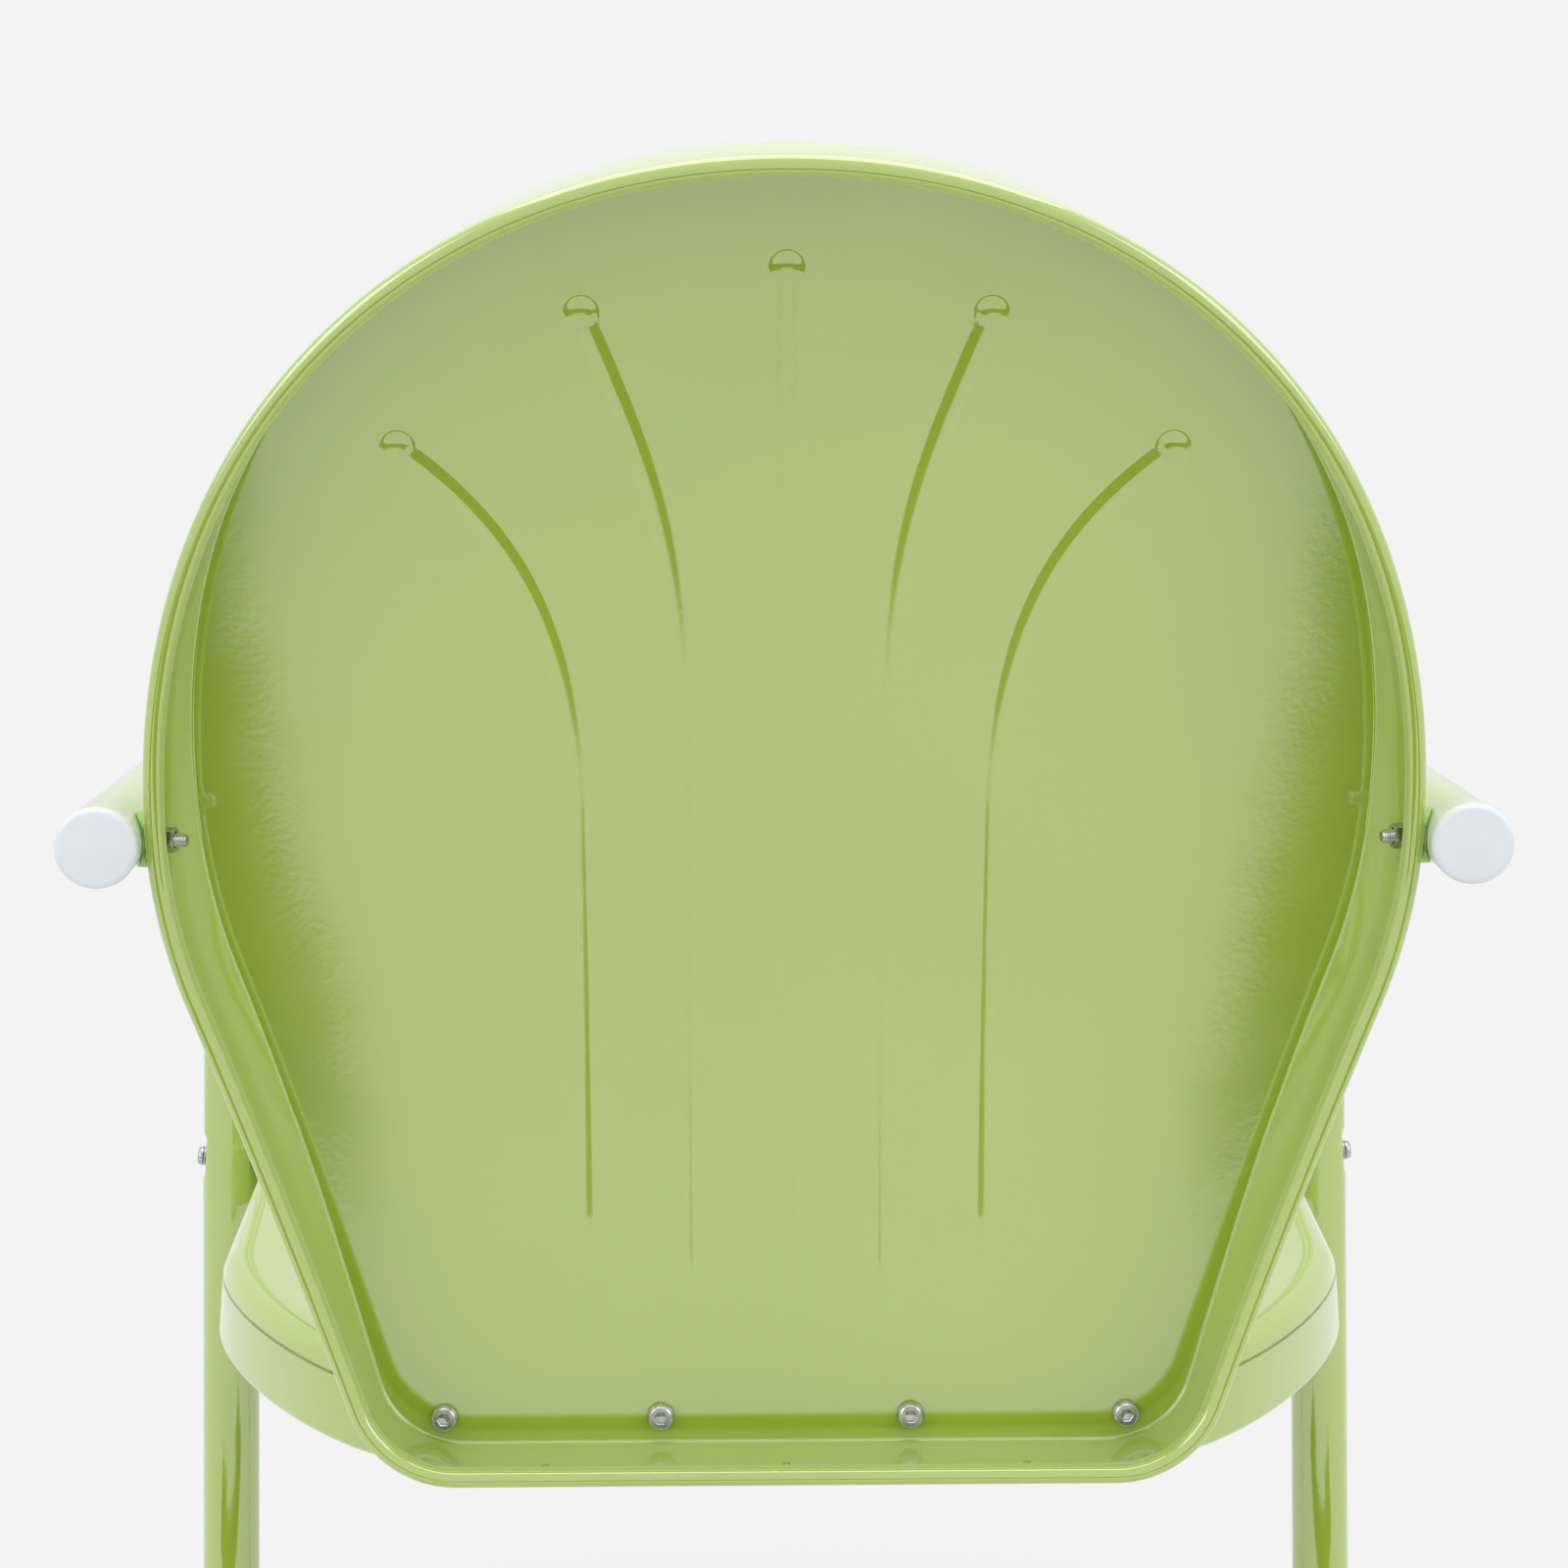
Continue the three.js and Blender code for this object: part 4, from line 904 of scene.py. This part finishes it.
def pressed_slopes(x, s, widening):
    """How steeply the pressed ribs and pits rise across and along the panel."""
    step = SLOPE_STEP
    across = pressed_height(x + step, s, widening) - pressed_height(x - step, s, widening)
    along = pressed_height(x, s + step, widening) - pressed_height(x, s - step, widening)
    return across / (2 * step), along / (2 * step)


def mesh_values(items, name, width, kind=float):
    """One attribute of all items of a mesh, as an array with so many values for each."""
    values = np.zeros(len(items) * width, kind)
    items.foreach_get(name, values)
    return values.reshape(-1, width)


def smooth_panel(obj):
    """Gives the back's two panel faces the exact normals of the pressed surface."""
    mesh = obj.data
    x, s, height = back_coordinates(mesh_values(mesh.vertices, "co", 3))
    heading = back.side(s)[2]
    target = np.zeros((len(x), 3))
    for base, widening, sign in ((BACK_SKIRT, RIB_OUTER_WIDENING, 1), (BACK_SKIRT - SHEET, 0.0, -1)):
        on_face = np.abs(height - base - pressed_height(x, s, widening)) < ON_FACE
        x_slope, s_slope = pressed_slopes(x, s, widening)
        normal = np.stack([
            -x_slope,
            -np.sin(heading) - s_slope * np.cos(heading),
            np.cos(heading) - s_slope * np.sin(heading),
        ], 1)
        normal /= np.linalg.norm(normal, axis=1, keepdims=True)
        target[on_face] = sign * normal[on_face]
    sizes = mesh_values(mesh.polygons, "loop_total", 1, np.int32)[:, 0]
    face_normals = np.repeat(mesh_values(mesh.polygons, "normal", 3), sizes, axis=0)
    chosen = target[mesh_values(mesh.loops, "vertex_index", 1, np.int32)[:, 0]]
    agree = np.sum(chosen * face_normals, axis=1) > 0.5
    chosen[~agree] = 0
    mesh.normals_split_custom_set(chosen.tolist())


def sheet_holes(places, diameter):
    """Holes through one sheet, with OVERRUN to either side of it."""
    return [(point, axis, diameter, OVERRUN, OVERRUN) for point, axis in places]


def both_sides(point, axis):
    return [(point, axis), (mirror(point), mirror(axis))]


def back_shell():
    vertices, faces = back_mesh()
    obj = add_object("back_shell_skin", vertices, faces, PAINT)
    drains = [(back.point(x, 0, DRAIN_FROM_LIP), foot_up) for x in (-DRAIN_PITCH, 0, DRAIN_PITCH)]
    holes = sheet_holes(drains, DRAIN_DIAMETER)
    holes += sheet_holes(both_sides(arm_point, arm_axis), hole_diameter(M5))
    drill(obj, holes)
    smooth_panel(obj)
    finish_piece(obj, "back_shell")


# Seat pan
def seat_fall(distance):
    """Depth of the dish by distance inside the edge of the top, with the rim's inner edge rounded."""
    run = distance - SEAT_RIM
    eased = np.where(run > SEAT_RIM_ROUND, run, (run + SEAT_RIM_ROUND) ** 2 / (4 * SEAT_RIM_ROUND))
    eased = np.where(run < -SEAT_RIM_ROUND, 0, eased)
    return SEAT_DISH * np.sin(np.clip(eased / SEAT_DISH_RUN, 0, 1) * math.pi / 2)


def seat_rings(face):
    """The middle point of the seat's top and the rings round it, with its rim on the face at some height."""
    edge = seat.inset(seat.bend_inset)
    hub = np.array([0, SEAT_LENGTH / 2])
    rings = []
    for share in np.concatenate([np.linspace(0.03, 0.80, 26), np.linspace(0.81, 1, 26)]):
        inward = hub + (edge - hub) * share
        distance = np.linalg.norm(edge - inward, axis=1)
        rings.append(seat.place(inward[:, 0], inward[:, 1], face - seat_fall(distance)))
    return seat.point(0, hub[1], face - SEAT_DISH), rings


def seat_pan():
    middle, top = seat_rings(SEAT_SKIRT)
    hidden_middle, hidden = seat_rings(SEAT_SKIRT - SHEET)
    rings = top + seat.rings(seat.edge_profile()) + hidden[::-1]
    obj = add_object("seat_pan_skin", *closed_body(rings[::-1], hidden_middle, middle), PAINT)
    screws = [(back.point(x, BACK_SCREW_RISE, BACK_SKIRT - SHEET), foot_out) for x in screw_spots]
    drain_line = SEAT_LENGTH - SEAT_DRAIN_FROM_REAR
    drains = []
    for x in (-SEAT_DRAIN_PITCH, 0, SEAT_DRAIN_PITCH):
        drains.append((seat.point(x, drain_line, SEAT_SKIRT - SEAT_DISH), seat.normal(drain_line)))
    holes = sheet_holes(screws, hole_diameter(M6))
    holes += sheet_holes(both_sides(leg_point, leg_axis), hole_diameter(M5))
    drill(obj, holes + sheet_holes(drains, DRAIN_DIAMETER))
    finish_piece(obj, "seat_pan")


# Tubes
def press_nodes(centre, axis, run, length):
    """Stations round a bolt, where the tube is pressed flat with an eased ramp to either side."""
    middle = axis.dot(run) * (TUBE_RADIUS - PRESS_DEPTH)
    ramp_length = PRESS_REACH_SHARE * PRESS_RAMP
    reach = length / 2 + ramp_length
    nodes = []
    for place in np.linspace(-reach, reach, PRESS_STATIONS):
        ramp = min(max((reach - abs(place)) / ramp_length, 0), 1)
        depth = PRESS_DEPTH * ramp * ramp * (3 - 2 * ramp)
        nodes.append({"point": centre + run * (middle + float(place)), "press": (centre, axis, depth)})
    return nodes


def bent_stations(nodes):
    stations = []
    for i, node in enumerate(nodes):
        before = nodes[max(i - 1, 0)]["point"]
        after = nodes[min(i + 1, len(nodes) - 1)]["point"]
        arriving = ((node["point"] - before) if i else (after - node["point"])).normalized()
        leaving = ((after - node["point"]) if i < len(nodes) - 1 else arriving).normalized()
        radius = node.get("radius")
        if not radius:
            stations.append({**node, "heading": arriving})
            continue
        turn = arriving.angle(leaving)
        axis = arriving.cross(leaving).normalized()
        start = node["point"] - arriving * (radius * math.tan(turn / 2))
        centre = start + axis.cross(arriving) * radius
        steps = int(round(turn / TUBE_BEND_STEP))
        for k in range(steps + 1):
            rotation = Matrix.Rotation(turn * k / steps, 3, axis)
            stations.append({"point": centre + rotation @ (start - centre), "heading": rotation @ arriving})
    return stations


def tube_ring(station, radius, plane_normal):
    side = plane_normal.cross(station["heading"])
    around = unit_circle(TUBE_SIDES) @ np.array([plane_normal, side])
    points = np.array(station["point"]) + radius * around
    if "press" in station:
        centre, axis, depth = station["press"]
        proud = (points - np.array(centre)) @ np.array(axis) - (radius - depth)
        points -= np.outer(np.maximum(proud, 0), np.array(axis))
    return points


def hollow_tube(node, stations, plane_normal):
    rings = [tube_ring(st, st.get("inner", BORE_RADIUS), plane_normal) for st in stations]
    rings += [tube_ring(st, st.get("outer", TUBE_RADIUS), plane_normal) for st in stations[::-1]]
    return add_object(node + "_skin", *closed_body(rings), PAINT)


def cut_end(point, run, outer=TUBE_RADIUS, inner=BORE_RADIUS):
    """Two stations that break the edge of a tube's cut end. The run points into the tube."""
    return [
        {"point": point, "outer": outer - EDGE_ROUND, "inner": inner + EDGE_ROUND},
        {"point": point + run * EDGE_ROUND, "outer": outer, "inner": inner},
    ]


def through(centre, axis, size):
    reach = TUBE_RADIUS + OVERRUN
    return (centre, axis, hole_diameter(size), reach, reach)


def glide_hole(centre):
    return (centre, -UP, GLIDE_STEM + 2 * HOLE_CLEARANCE, -BORE_RADIUS / 2, TUBE_RADIUS + OVERRUN)


def side_frame(side, sign):
    nodes = cut_end(arm_rear, -arm_run) + press_nodes(arm_centre, arm_axis, -arm_run, ARM_PRESS_LENGTH)
    nodes.append({"point": arm_corner, "radius": ARM_BEND_RADIUS})
    nodes += press_nodes(leg_centre, leg_axis, leg_run, LEG_PRESS_LENGTH)
    nodes.append({"point": foot_corner, "radius": FOOT_BEND_RADIUS})
    nodes += cut_end(runner_rear, -frame_run)[::-1]
    obj = hollow_tube(f"side_frame_{side}", bent_stations(nodes), frame_normal)
    drill(obj, [
        through(arm_centre, arm_axis, M5),
        through(leg_centre, leg_axis, M5),
        through(joint_point, frame_normal, M6),
        glide_hole(front_glide),
    ])
    if sign < 0:
        flip(obj)
    finish_piece(obj, f"side_frame_{side}")


def flip(obj):
    """Turns a left piece into its right twin."""
    obj.data.transform(Matrix.Diagonal((-1, 1, 1, 1)))
    obj.data.flip_normals()


def rear_bar():
    spigot = BORE_RADIUS - GAP
    bore = spigot - TUBE_WALL
    shoulder = runner_rear + frame_run * GAP
    neck = shoulder + frame_run * SPIGOT_NECK
    half = cut_end(runner_rear - frame_run * SPIGOT_LENGTH, frame_run, spigot, bore)
    half += [
        {"point": runner_rear, "outer": spigot, "inner": bore},
        {"point": shoulder, "outer": TUBE_RADIUS - EDGE_ROUND, "inner": bore},
        {"point": shoulder + frame_run * EDGE_ROUND, "outer": TUBE_RADIUS, "inner": bore},
        {"point": neck, "outer": TUBE_RADIUS, "inner": BORE_RADIUS},
        {"point": bar_corner, "radius": BASE_BEND_RADIUS},
    ]
    other = [{**node, "point": mirror(node["point"])} for node in half[::-1]]
    obj = hollow_tube("base_rear_bar", bent_stations(half + other), UP)
    drill(obj, [
        through(joint_point, frame_normal, M6),
        through(mirror(joint_point), mirror(frame_normal), M6),
        glide_hole(rear_glide),
        glide_hole(mirror(rear_glide)),
    ])
    finish_piece(obj, "base_rear_bar")


# Fasteners, drawn with the head rising along +Z from a seat at zero
def hexagon(across_flats):
    """Radius of a hexagon towards each side of a ring, with a corner at the first."""
    angles = np.arange(ROUND_SIDES) * 2 * math.pi / ROUND_SIDES
    turn = (angles + math.pi / 6) % (math.pi / 3) - math.pi / 6
    return across_flats / 2 / np.cos(math.pi / 6 - np.abs(turn))


def bolt_head(size):
    """Rings from the rim of a domed head up to its flat, then down the walls of the hexagon socket."""
    radius = size["head"] / 2
    rise = size["rise"]
    socket = size["socket"]
    rim = HEAD_RIM_SHARE * rise
    rings = [ring(radius - HEAD_EDGE, 0), ring(radius, HEAD_EDGE), ring(radius, rim)]
    for angle in np.linspace(0.12, 1, 8) * HEAD_DOME:
        shrink = (1 - math.cos(angle)) / (1 - math.cos(HEAD_DOME))
        lift = math.sin(angle) / math.sin(HEAD_DOME)
        rings.append(ring(radius * (1 - HEAD_SHRINK_SHARE * shrink), rim + (rise - rim) * lift))
    rings.append(ring(radius * HEAD_FLAT_SHARE, rise))
    for across, height in (
        (socket + SOCKET_EDGE, rise),
        (socket, rise - SOCKET_EDGE / 2),
        (socket, rise * SOCKET_WALL_END_SHARE),
        (socket * SOCKET_CENTRE_SHARE, rise * SOCKET_CONE_END_SHARE),
    ):
        rings.append(ring(hexagon(across), height))
    return rings


def bolt(node, size, length, origin, axis):
    """A button head bolt with a true screw thread at its end."""
    radius = size["shank"] / 2
    pitch = size["pitch"]
    thread = min(THREAD_LENGTH, length - THREAD_PLAIN)
    turns = np.arange(ROUND_SIDES) / ROUND_SIDES
    rings = [ring(radius * TIP_SHARE, -length)]
    for run in np.linspace(TIP_START, thread, int(thread / pitch * THREAD_TURN_STEPS) + 1):
        fade = min(1, run / pitch, (thread - run) / pitch)
        ridge = np.abs(2 * (((run - length) / pitch - turns) % 1) - 1)
        depth = THREAD_DEPTH_SHARE * pitch * (1 - ridge) * max(fade, 0)
        start_taper = max(0, 1 - run / TIP_TAPER) * TIP_TAPER_SHARE * radius
        rings.append(ring(radius - depth - start_taper, run - length))
    rings.append(ring(radius, -HEAD_EDGE / 2))
    rings += bolt_head(size)
    body = closed_body(rings, (0, 0, -length), (0, 0, SOCKET_CENTRE_SHARE * size["rise"]))
    add_turned(node, body, origin, axis, STEEL)


def nut(node, size, origin, axis):
    """A hexagon nut whose corners are turned off at both faces."""
    bore = size["shank"] / 2 + GAP
    chamfer_start = size["nut"] / 2 * NUT_CHAMFER_START_SHARE
    radii = hexagon(size["nut"])
    rise = np.maximum(0, radii - chamfer_start) * math.tan(NUT_CHAMFER)
    half = [(bore, NUT_EDGE), (bore + NUT_EDGE, 0), (chamfer_start, 0), (radii, rise)]
    rings = [ring(radius, height) for radius, height in half]
    rings += [ring(radius, size["nut_height"] - height) for radius, height in half[::-1]]
    add_turned(node, closed_body(rings), origin, axis, STEEL)


def washer(node, size, origin, axis):
    inner = size["shank"] / 2 + HOLE_CLEARANCE
    outer = size["washer"] / 2
    edge = WASHER_EDGE
    half = [(inner, edge), (inner + edge, 0), (outer - edge, 0), (outer, edge)]
    profile = half + [(radius, size["sheet"] - height) for radius, height in half[::-1]]
    add_turned(node, lathe(profile, ROUND_SIDES), origin, axis, STEEL)


# Plastic pieces
def saddle_spacer(node, start, axis, centre, run, sign):
    """A short round block whose far face is hollowed to the tube it bears on."""
    across = axis.cross(run).normalized()
    circle = unit_circle(PLASTIC_SIDES) @ np.array([across, axis.cross(across)])
    start, axis, centre, run = (np.array(vector) for vector in (start, axis, centre, run))
    square = axis - run * (axis @ run)
    bore = hole_diameter(M5) / 2
    outer = SPACER_DIAMETER / 2
    edge = SPACER_EDGE

    def flat_ring(radius, height):
        return start + circle * radius + axis * height

    def saddle_ring(radius, depth):
        """Points at a radius, at some depth under the tube's clearance."""
        base = start + circle * radius
        gap = base - centre
        gap -= np.outer(gap @ run, run)
        half = gap @ square
        spare = (square @ square) * (np.sum(gap ** 2, axis=1) - (TUBE_RADIUS + GAP) ** 2)
        reach = (-half - np.sqrt(half ** 2 - spare)) / (square @ square)
        return base + np.outer(reach - depth, axis)

    foot = [(bore, GAP + edge), (bore + edge, GAP), (outer - edge, GAP), (outer, GAP + edge)]
    saddle = [(outer, 2 * edge), (outer, edge), (outer - edge, 0)]
    saddle += [((outer * 2 + bore) / 3, 0), ((outer + bore * 2) / 3, 0), (bore + edge, 0), (bore, edge)]
    rings = [flat_ring(*place) for place in foot] + [saddle_ring(*place) for place in saddle]
    obj = add_object(node + "_skin", *closed_body(rings), SPACER_GREEN)
    if sign < 0:
        flip(obj)
    finish_piece(obj, node)


def arm_cap(node, origin, axis):
    """A plug cap: a stem with a hollow inside the tube, and a softly domed face with a rounded rim."""
    outer = TUBE_RADIUS + CAP_OVERHANG
    stem = BORE_RADIUS * CAP_BORE_SHARE - GAP
    hollow = stem - CAP_WALL
    profile = [
        (0, GAP + CAP_WALL), (hollow, GAP + CAP_WALL), (hollow, -CAP_STEM),
        (stem - CAP_STEM_LEAD, -CAP_STEM), (stem, -CAP_STEM + CAP_STEM_LEAD_LENGTH),
        (stem, GAP), (outer - CAP_EDGE, GAP), (outer, GAP + CAP_EDGE),
    ]
    for angle in np.linspace(0, math.pi / 2, 9):
        radius = outer - CAP_ROUND * (1 - math.cos(angle))
        profile.append((radius, CAP_FACE - CAP_EDGE - CAP_ROUND * (1 - math.sin(angle))))
    for share in (0.85, 0.65, 0.4, 0.2, 0):
        profile.append(((outer - CAP_ROUND) * share, CAP_FACE - CAP_EDGE * share * share))
    add_turned(node, lathe(profile, CAP_SIDES), origin, axis, WHITE)


def floor_glide(node, place, turn):
    """A flat pad hollowed to the tube above it, with a stem that pushes into the tube."""
    edge = GLIDE_EDGE
    top = GLIDE_PAD + GAP + 2 * TUBE_WALL
    circle = unit_circle(PLASTIC_SIDES, 0.5)
    corners = np.sign(circle) * (np.array([GLIDE_LENGTH, GLIDE_WIDTH]) / 2 - GLIDE_ROUND)
    stem = circle * GLIDE_STEM / 2

    def outline(inset):
        return corners + circle * (GLIDE_ROUND - inset)

    def under_tube(points, drop=0.0):
        saddle = runner_height - np.sqrt((TUBE_RADIUS + GAP) ** 2 - points[:, 1] ** 2)
        return raised(points, saddle - drop)

    rings = [
        raised(outline(edge) * 0.5, 0),
        raised(outline(edge), 0),
        raised(outline(0.3 * edge), 0.3 * edge),
        raised(outline(0), edge),
        under_tube(outline(0), 0.6 * edge),
    ]
    for share in (1, 0.75, 0.5, 0.25, 0):
        rings.append(under_tube(stem + (outline(0.6 * edge) - stem) * share))
    rings.append(raised(stem, top - GLIDE_STEM_LEAD))
    rings.append(raised(circle * (GLIDE_STEM / 2 - GLIDE_STEM_LEAD), top))
    vertices, faces = closed_body(rings, (0, 0, 0), (0, 0, top))
    matrix = Matrix.Translation((place.x, place.y, 0)) @ Matrix.Rotation(turn, 4, "Z")
    obj = add_object(node + "_skin", moved(vertices, matrix), faces, WHITE)
    finish_piece(obj, node)


# Assembly
def side_fasteners(side, sign):
    head_seat = TUBE_RADIUS - PRESS_DEPTH + GAP
    washer_depth = SHEET + GAP + M5["sheet"]
    nut_depth = washer_depth + GAP + M5["nut_height"]
    for limb, inner_washer, centre, point, axis, standoff, lift in (
        ("arm", "washer", arm_centre, arm_point, arm_axis, arm_standoff, 0),
        ("leg", "inner_washer", leg_centre, leg_point, leg_axis, LEG_STANDOFF, M5["sheet"] + GAP),
    ):
        length = head_seat + lift + TUBE_RADIUS + standoff + nut_depth + THREAD_STICKOUT
        head = on_side(centre + axis * (head_seat + lift), sign)
        way = on_side(axis, sign)
        bolt(f"{limb}_bolt_{side}", M5, length, head, way)
        washer(f"{limb}_{inner_washer}_{side}", M5, on_side(point - axis * washer_depth, sign), way)
        nut(f"{limb}_nut_{side}", M5, on_side(point - axis * nut_depth, sign), way)
    outer = leg_centre + leg_axis * head_seat
    washer(f"leg_outer_washer_{side}", M5, on_side(outer, sign), on_side(leg_axis, sign))

    reach = TUBE_RADIUS + GAP
    way = on_side(frame_normal, sign)
    length = 2 * reach + M6["nut_height"] + THREAD_STICKOUT
    bolt(f"base_bolt_{side}", M6, length, on_side(joint_point + frame_normal * reach, sign), way)
    place = joint_point - frame_normal * (reach + M6["nut_height"])
    nut(f"base_nut_{side}", M6, on_side(place, sign), way)


def side_pieces(side, sign):
    side_frame(side, sign)
    arm_cap(f"arm_cap_{side}", on_side(arm_rear, sign), on_side(arm_run, sign))
    saddle_spacer(f"arm_spacer_{side}", arm_point, arm_axis, arm_centre, arm_run, sign)
    saddle_spacer(f"leg_spacer_{side}", leg_point, leg_axis, leg_centre, leg_run, sign)
    side_fasteners(side, sign)
    run = on_side(frame_run, sign)
    floor_glide(f"floor_glide_front_{side}", on_side(front_glide, sign), math.atan2(run.y, run.x))
    floor_glide(f"floor_glide_rear_{side}", on_side(rear_glide, sign), 0)


def back_fasteners():
    washer_depth = 2 * (SHEET + GAP) + M6["sheet"]
    nut_depth = washer_depth + GAP + M6["nut_height"]
    length = nut_depth + GAP + THREAD_STICKOUT / 2
    for i, x in enumerate(screw_spots, 1):
        rear = back.point(x, BACK_SCREW_RISE, BACK_SKIRT - SHEET)
        bolt(f"back_screw_{i}", M6, length, rear + foot_out * GAP, foot_out)
        washer(f"back_washer_{i}", M6, rear - foot_out * washer_depth, foot_out)
        nut(f"back_nut_{i}", M6, rear - foot_out * nut_depth, foot_out)


# Stage, light and camera
BACKGROUND = linear(243, 243, 243)
LIGHT_TARGET = Vector((0, 0, 0.5))


def faded(tree, value, start, end):
    """Zero at the start and one at the end, with a smooth step between."""
    inputs = {"Value": value, "From Min": start, "From Max": end}
    return add_node(tree, "MapRange", inputs, interpolation_type="SMOOTHSTEP").outputs["Result"]


def combined(tree, operation, first, second):
    return add_node(tree, "Math", {0: first, 1: second}, operation=operation).outputs["Value"]


def seen_directly(tree):
    """One where a ray comes from the camera, or from a mirror or glass that shows the surroundings."""
    path = add_node(tree, "LightPath", {}).outputs
    shown = combined(tree, "MAXIMUM", path["Is Camera Ray"], path["Is Glossy Ray"])
    return combined(tree, "MAXIMUM", shown, path["Is Transmission Ray"])


def show_mix(tree, output, share, first, second):
    """Shows the first shader where the share is zero, and the second where it's one."""
    mix = add_node(tree, "MixShader", {"Fac": share, 1: first.outputs[0], 2: second.outputs[0]})
    fill(tree, tree.nodes[output], {"Surface": mix.outputs["Shader"]})


def add_rectangle(name, half_width, near, far, material):
    vertices = [(-half_width, near, 0), (half_width, near, 0), (half_width, far, 0), (-half_width, far, 0)]
    obj = add_object(name, vertices, [(0, 1, 2, 3)], material)
    return obj


def make_world(strength):
    world = bpy.data.worlds.new("studio")
    bpy.context.scene.world = world
    world.use_nodes = True
    tree = world.node_tree
    plain = tree.nodes["Background"]
    fill(tree, plain, {"Color": (1, 1, 1, 1), "Strength": strength})
    shown = add_node(tree, "Background", {"Color": BACKGROUND})
    show_mix(tree, "World Output", seen_directly(tree), plain, shown)


def make_floor(near=0.62, far=0.95, reach=12.0):
    """A pale floor that keeps the shadow round the chair and fades into the background further out."""
    material, tree, shader = new_material("floor")
    fill(tree, shader, {"Base Color": linear(224, 224, 224), "Roughness": 0.9, "Specular IOR Level": 0.1})
    shown = add_node(tree, "Emission", {"Color": BACKGROUND})
    distance = add_node(tree, "VectorMath", {0: object_place(tree)}, operation="LENGTH")
    away = faded(tree, distance.outputs["Value"], near, far)
    show_mix(tree, "Material Output", combined(tree, "MULTIPLY", away, seen_directly(tree)), shader, shown)
    add_rectangle("floor", reach, -reach, reach, material)


def make_painted_reflection(
    half_width=0.85, near=0.70, far=1.19, middle_end=1.03, side_sum=1.61, side_slant=1.07, soft=0.025,
):
    """A dark card for the dark floor round the camera, hidden from the camera, diffuse light and shadow: a
    painted reflection that shows only in gloss, as dark crescents at the back's sides.

    It reaches further out beside the camera than under it, and its edges towards the middle are soft.
    """
    material, tree, shader = new_material("painted_reflection_card")
    # The card's dark colour is seen only in the paint's gloss, as a painted reflection.
    fill(tree, shader, {"Base Color": linear(30, 34, 20), "Roughness": 1.0, "Specular IOR Level": 0.0})
    parts = add_node(tree, "SeparateXYZ", {"Vector": object_place(tree)}).outputs
    under = faded(tree, parts["Y"], middle_end + soft, middle_end - soft)
    width = combined(tree, "ABSOLUTE", parts["X"], 0.0)
    slanted = combined(tree, "MULTIPLY", parts["Y"], side_slant)
    beside = faded(tree, combined(tree, "ADD", width, slanted), side_sum - soft, side_sum + soft)
    clear = add_node(tree, "BsdfTransparent", {})
    show_mix(tree, "Material Output", combined(tree, "MAXIMUM", under, beside), clear, shader)
    card = add_rectangle("painted_reflection_card", half_width, near, far, material)
    card.location = (-0.015, 0, 0.002)
    card.visible_camera = False
    card.visible_diffuse = False
    card.visible_transmission = False
    card.visible_shadow = False


def soft_light(name, place, size, power):
    data = bpy.data.lights.new(name, "AREA")
    data.shape = "RECTANGLE"
    data.size, data.size_y = size
    data.energy = power
    obj = bpy.data.objects.new(name, data)
    obj.location = place
    obj.rotation_euler = (LIGHT_TARGET - Vector(place)).to_track_quat("-Z", "Y").to_euler()
    obj.visible_camera = False
    bpy.context.scene.collection.objects.link(obj)


def make_lights():
    soft_light("top_light", (0, 0.3, 2.6), (2.4, 2.0), 28)
    soft_light("left_light", (2.2, 1.4, 1.5), (1.2, 1.6), 10)
    soft_light("right_light", (-2.2, 1.4, 1.5), (1.2, 1.6), 10)


def make_camera():
    forward = Vector((
        math.sin(CAMERA_YAW) * math.cos(CAMERA_PITCH),
        -math.cos(CAMERA_YAW) * math.cos(CAMERA_PITCH),
        math.sin(CAMERA_PITCH),
    ))
    level = Vector((-math.cos(CAMERA_YAW), -math.sin(CAMERA_YAW), 0))
    above = level.cross(forward)
    right = level * math.cos(CAMERA_ROLL) + above * math.sin(CAMERA_ROLL)
    up = above * math.cos(CAMERA_ROLL) - level * math.sin(CAMERA_ROLL)
    data = bpy.data.cameras.new("camera")
    data.sensor_width = 36
    data.lens = data.sensor_width * FOCAL_PIXELS / PHOTO_PIXELS
    camera = bpy.data.objects.new("camera", data)
    turn = Matrix((right, up, -forward)).transposed().to_4x4()
    camera.matrix_world = Matrix.Translation(CAMERA_PLACE) @ turn
    bpy.context.scene.collection.objects.link(camera)
    bpy.context.scene.camera = camera


back_shell()
seat_pan()
rear_bar()
side_pieces("left", 1)
side_pieces("right", -1)
back_fasteners()
make_world(0.8)
make_floor()
make_painted_reflection()
make_lights()
make_camera()
bpy.context.scene.view_settings.view_transform = "Standard"
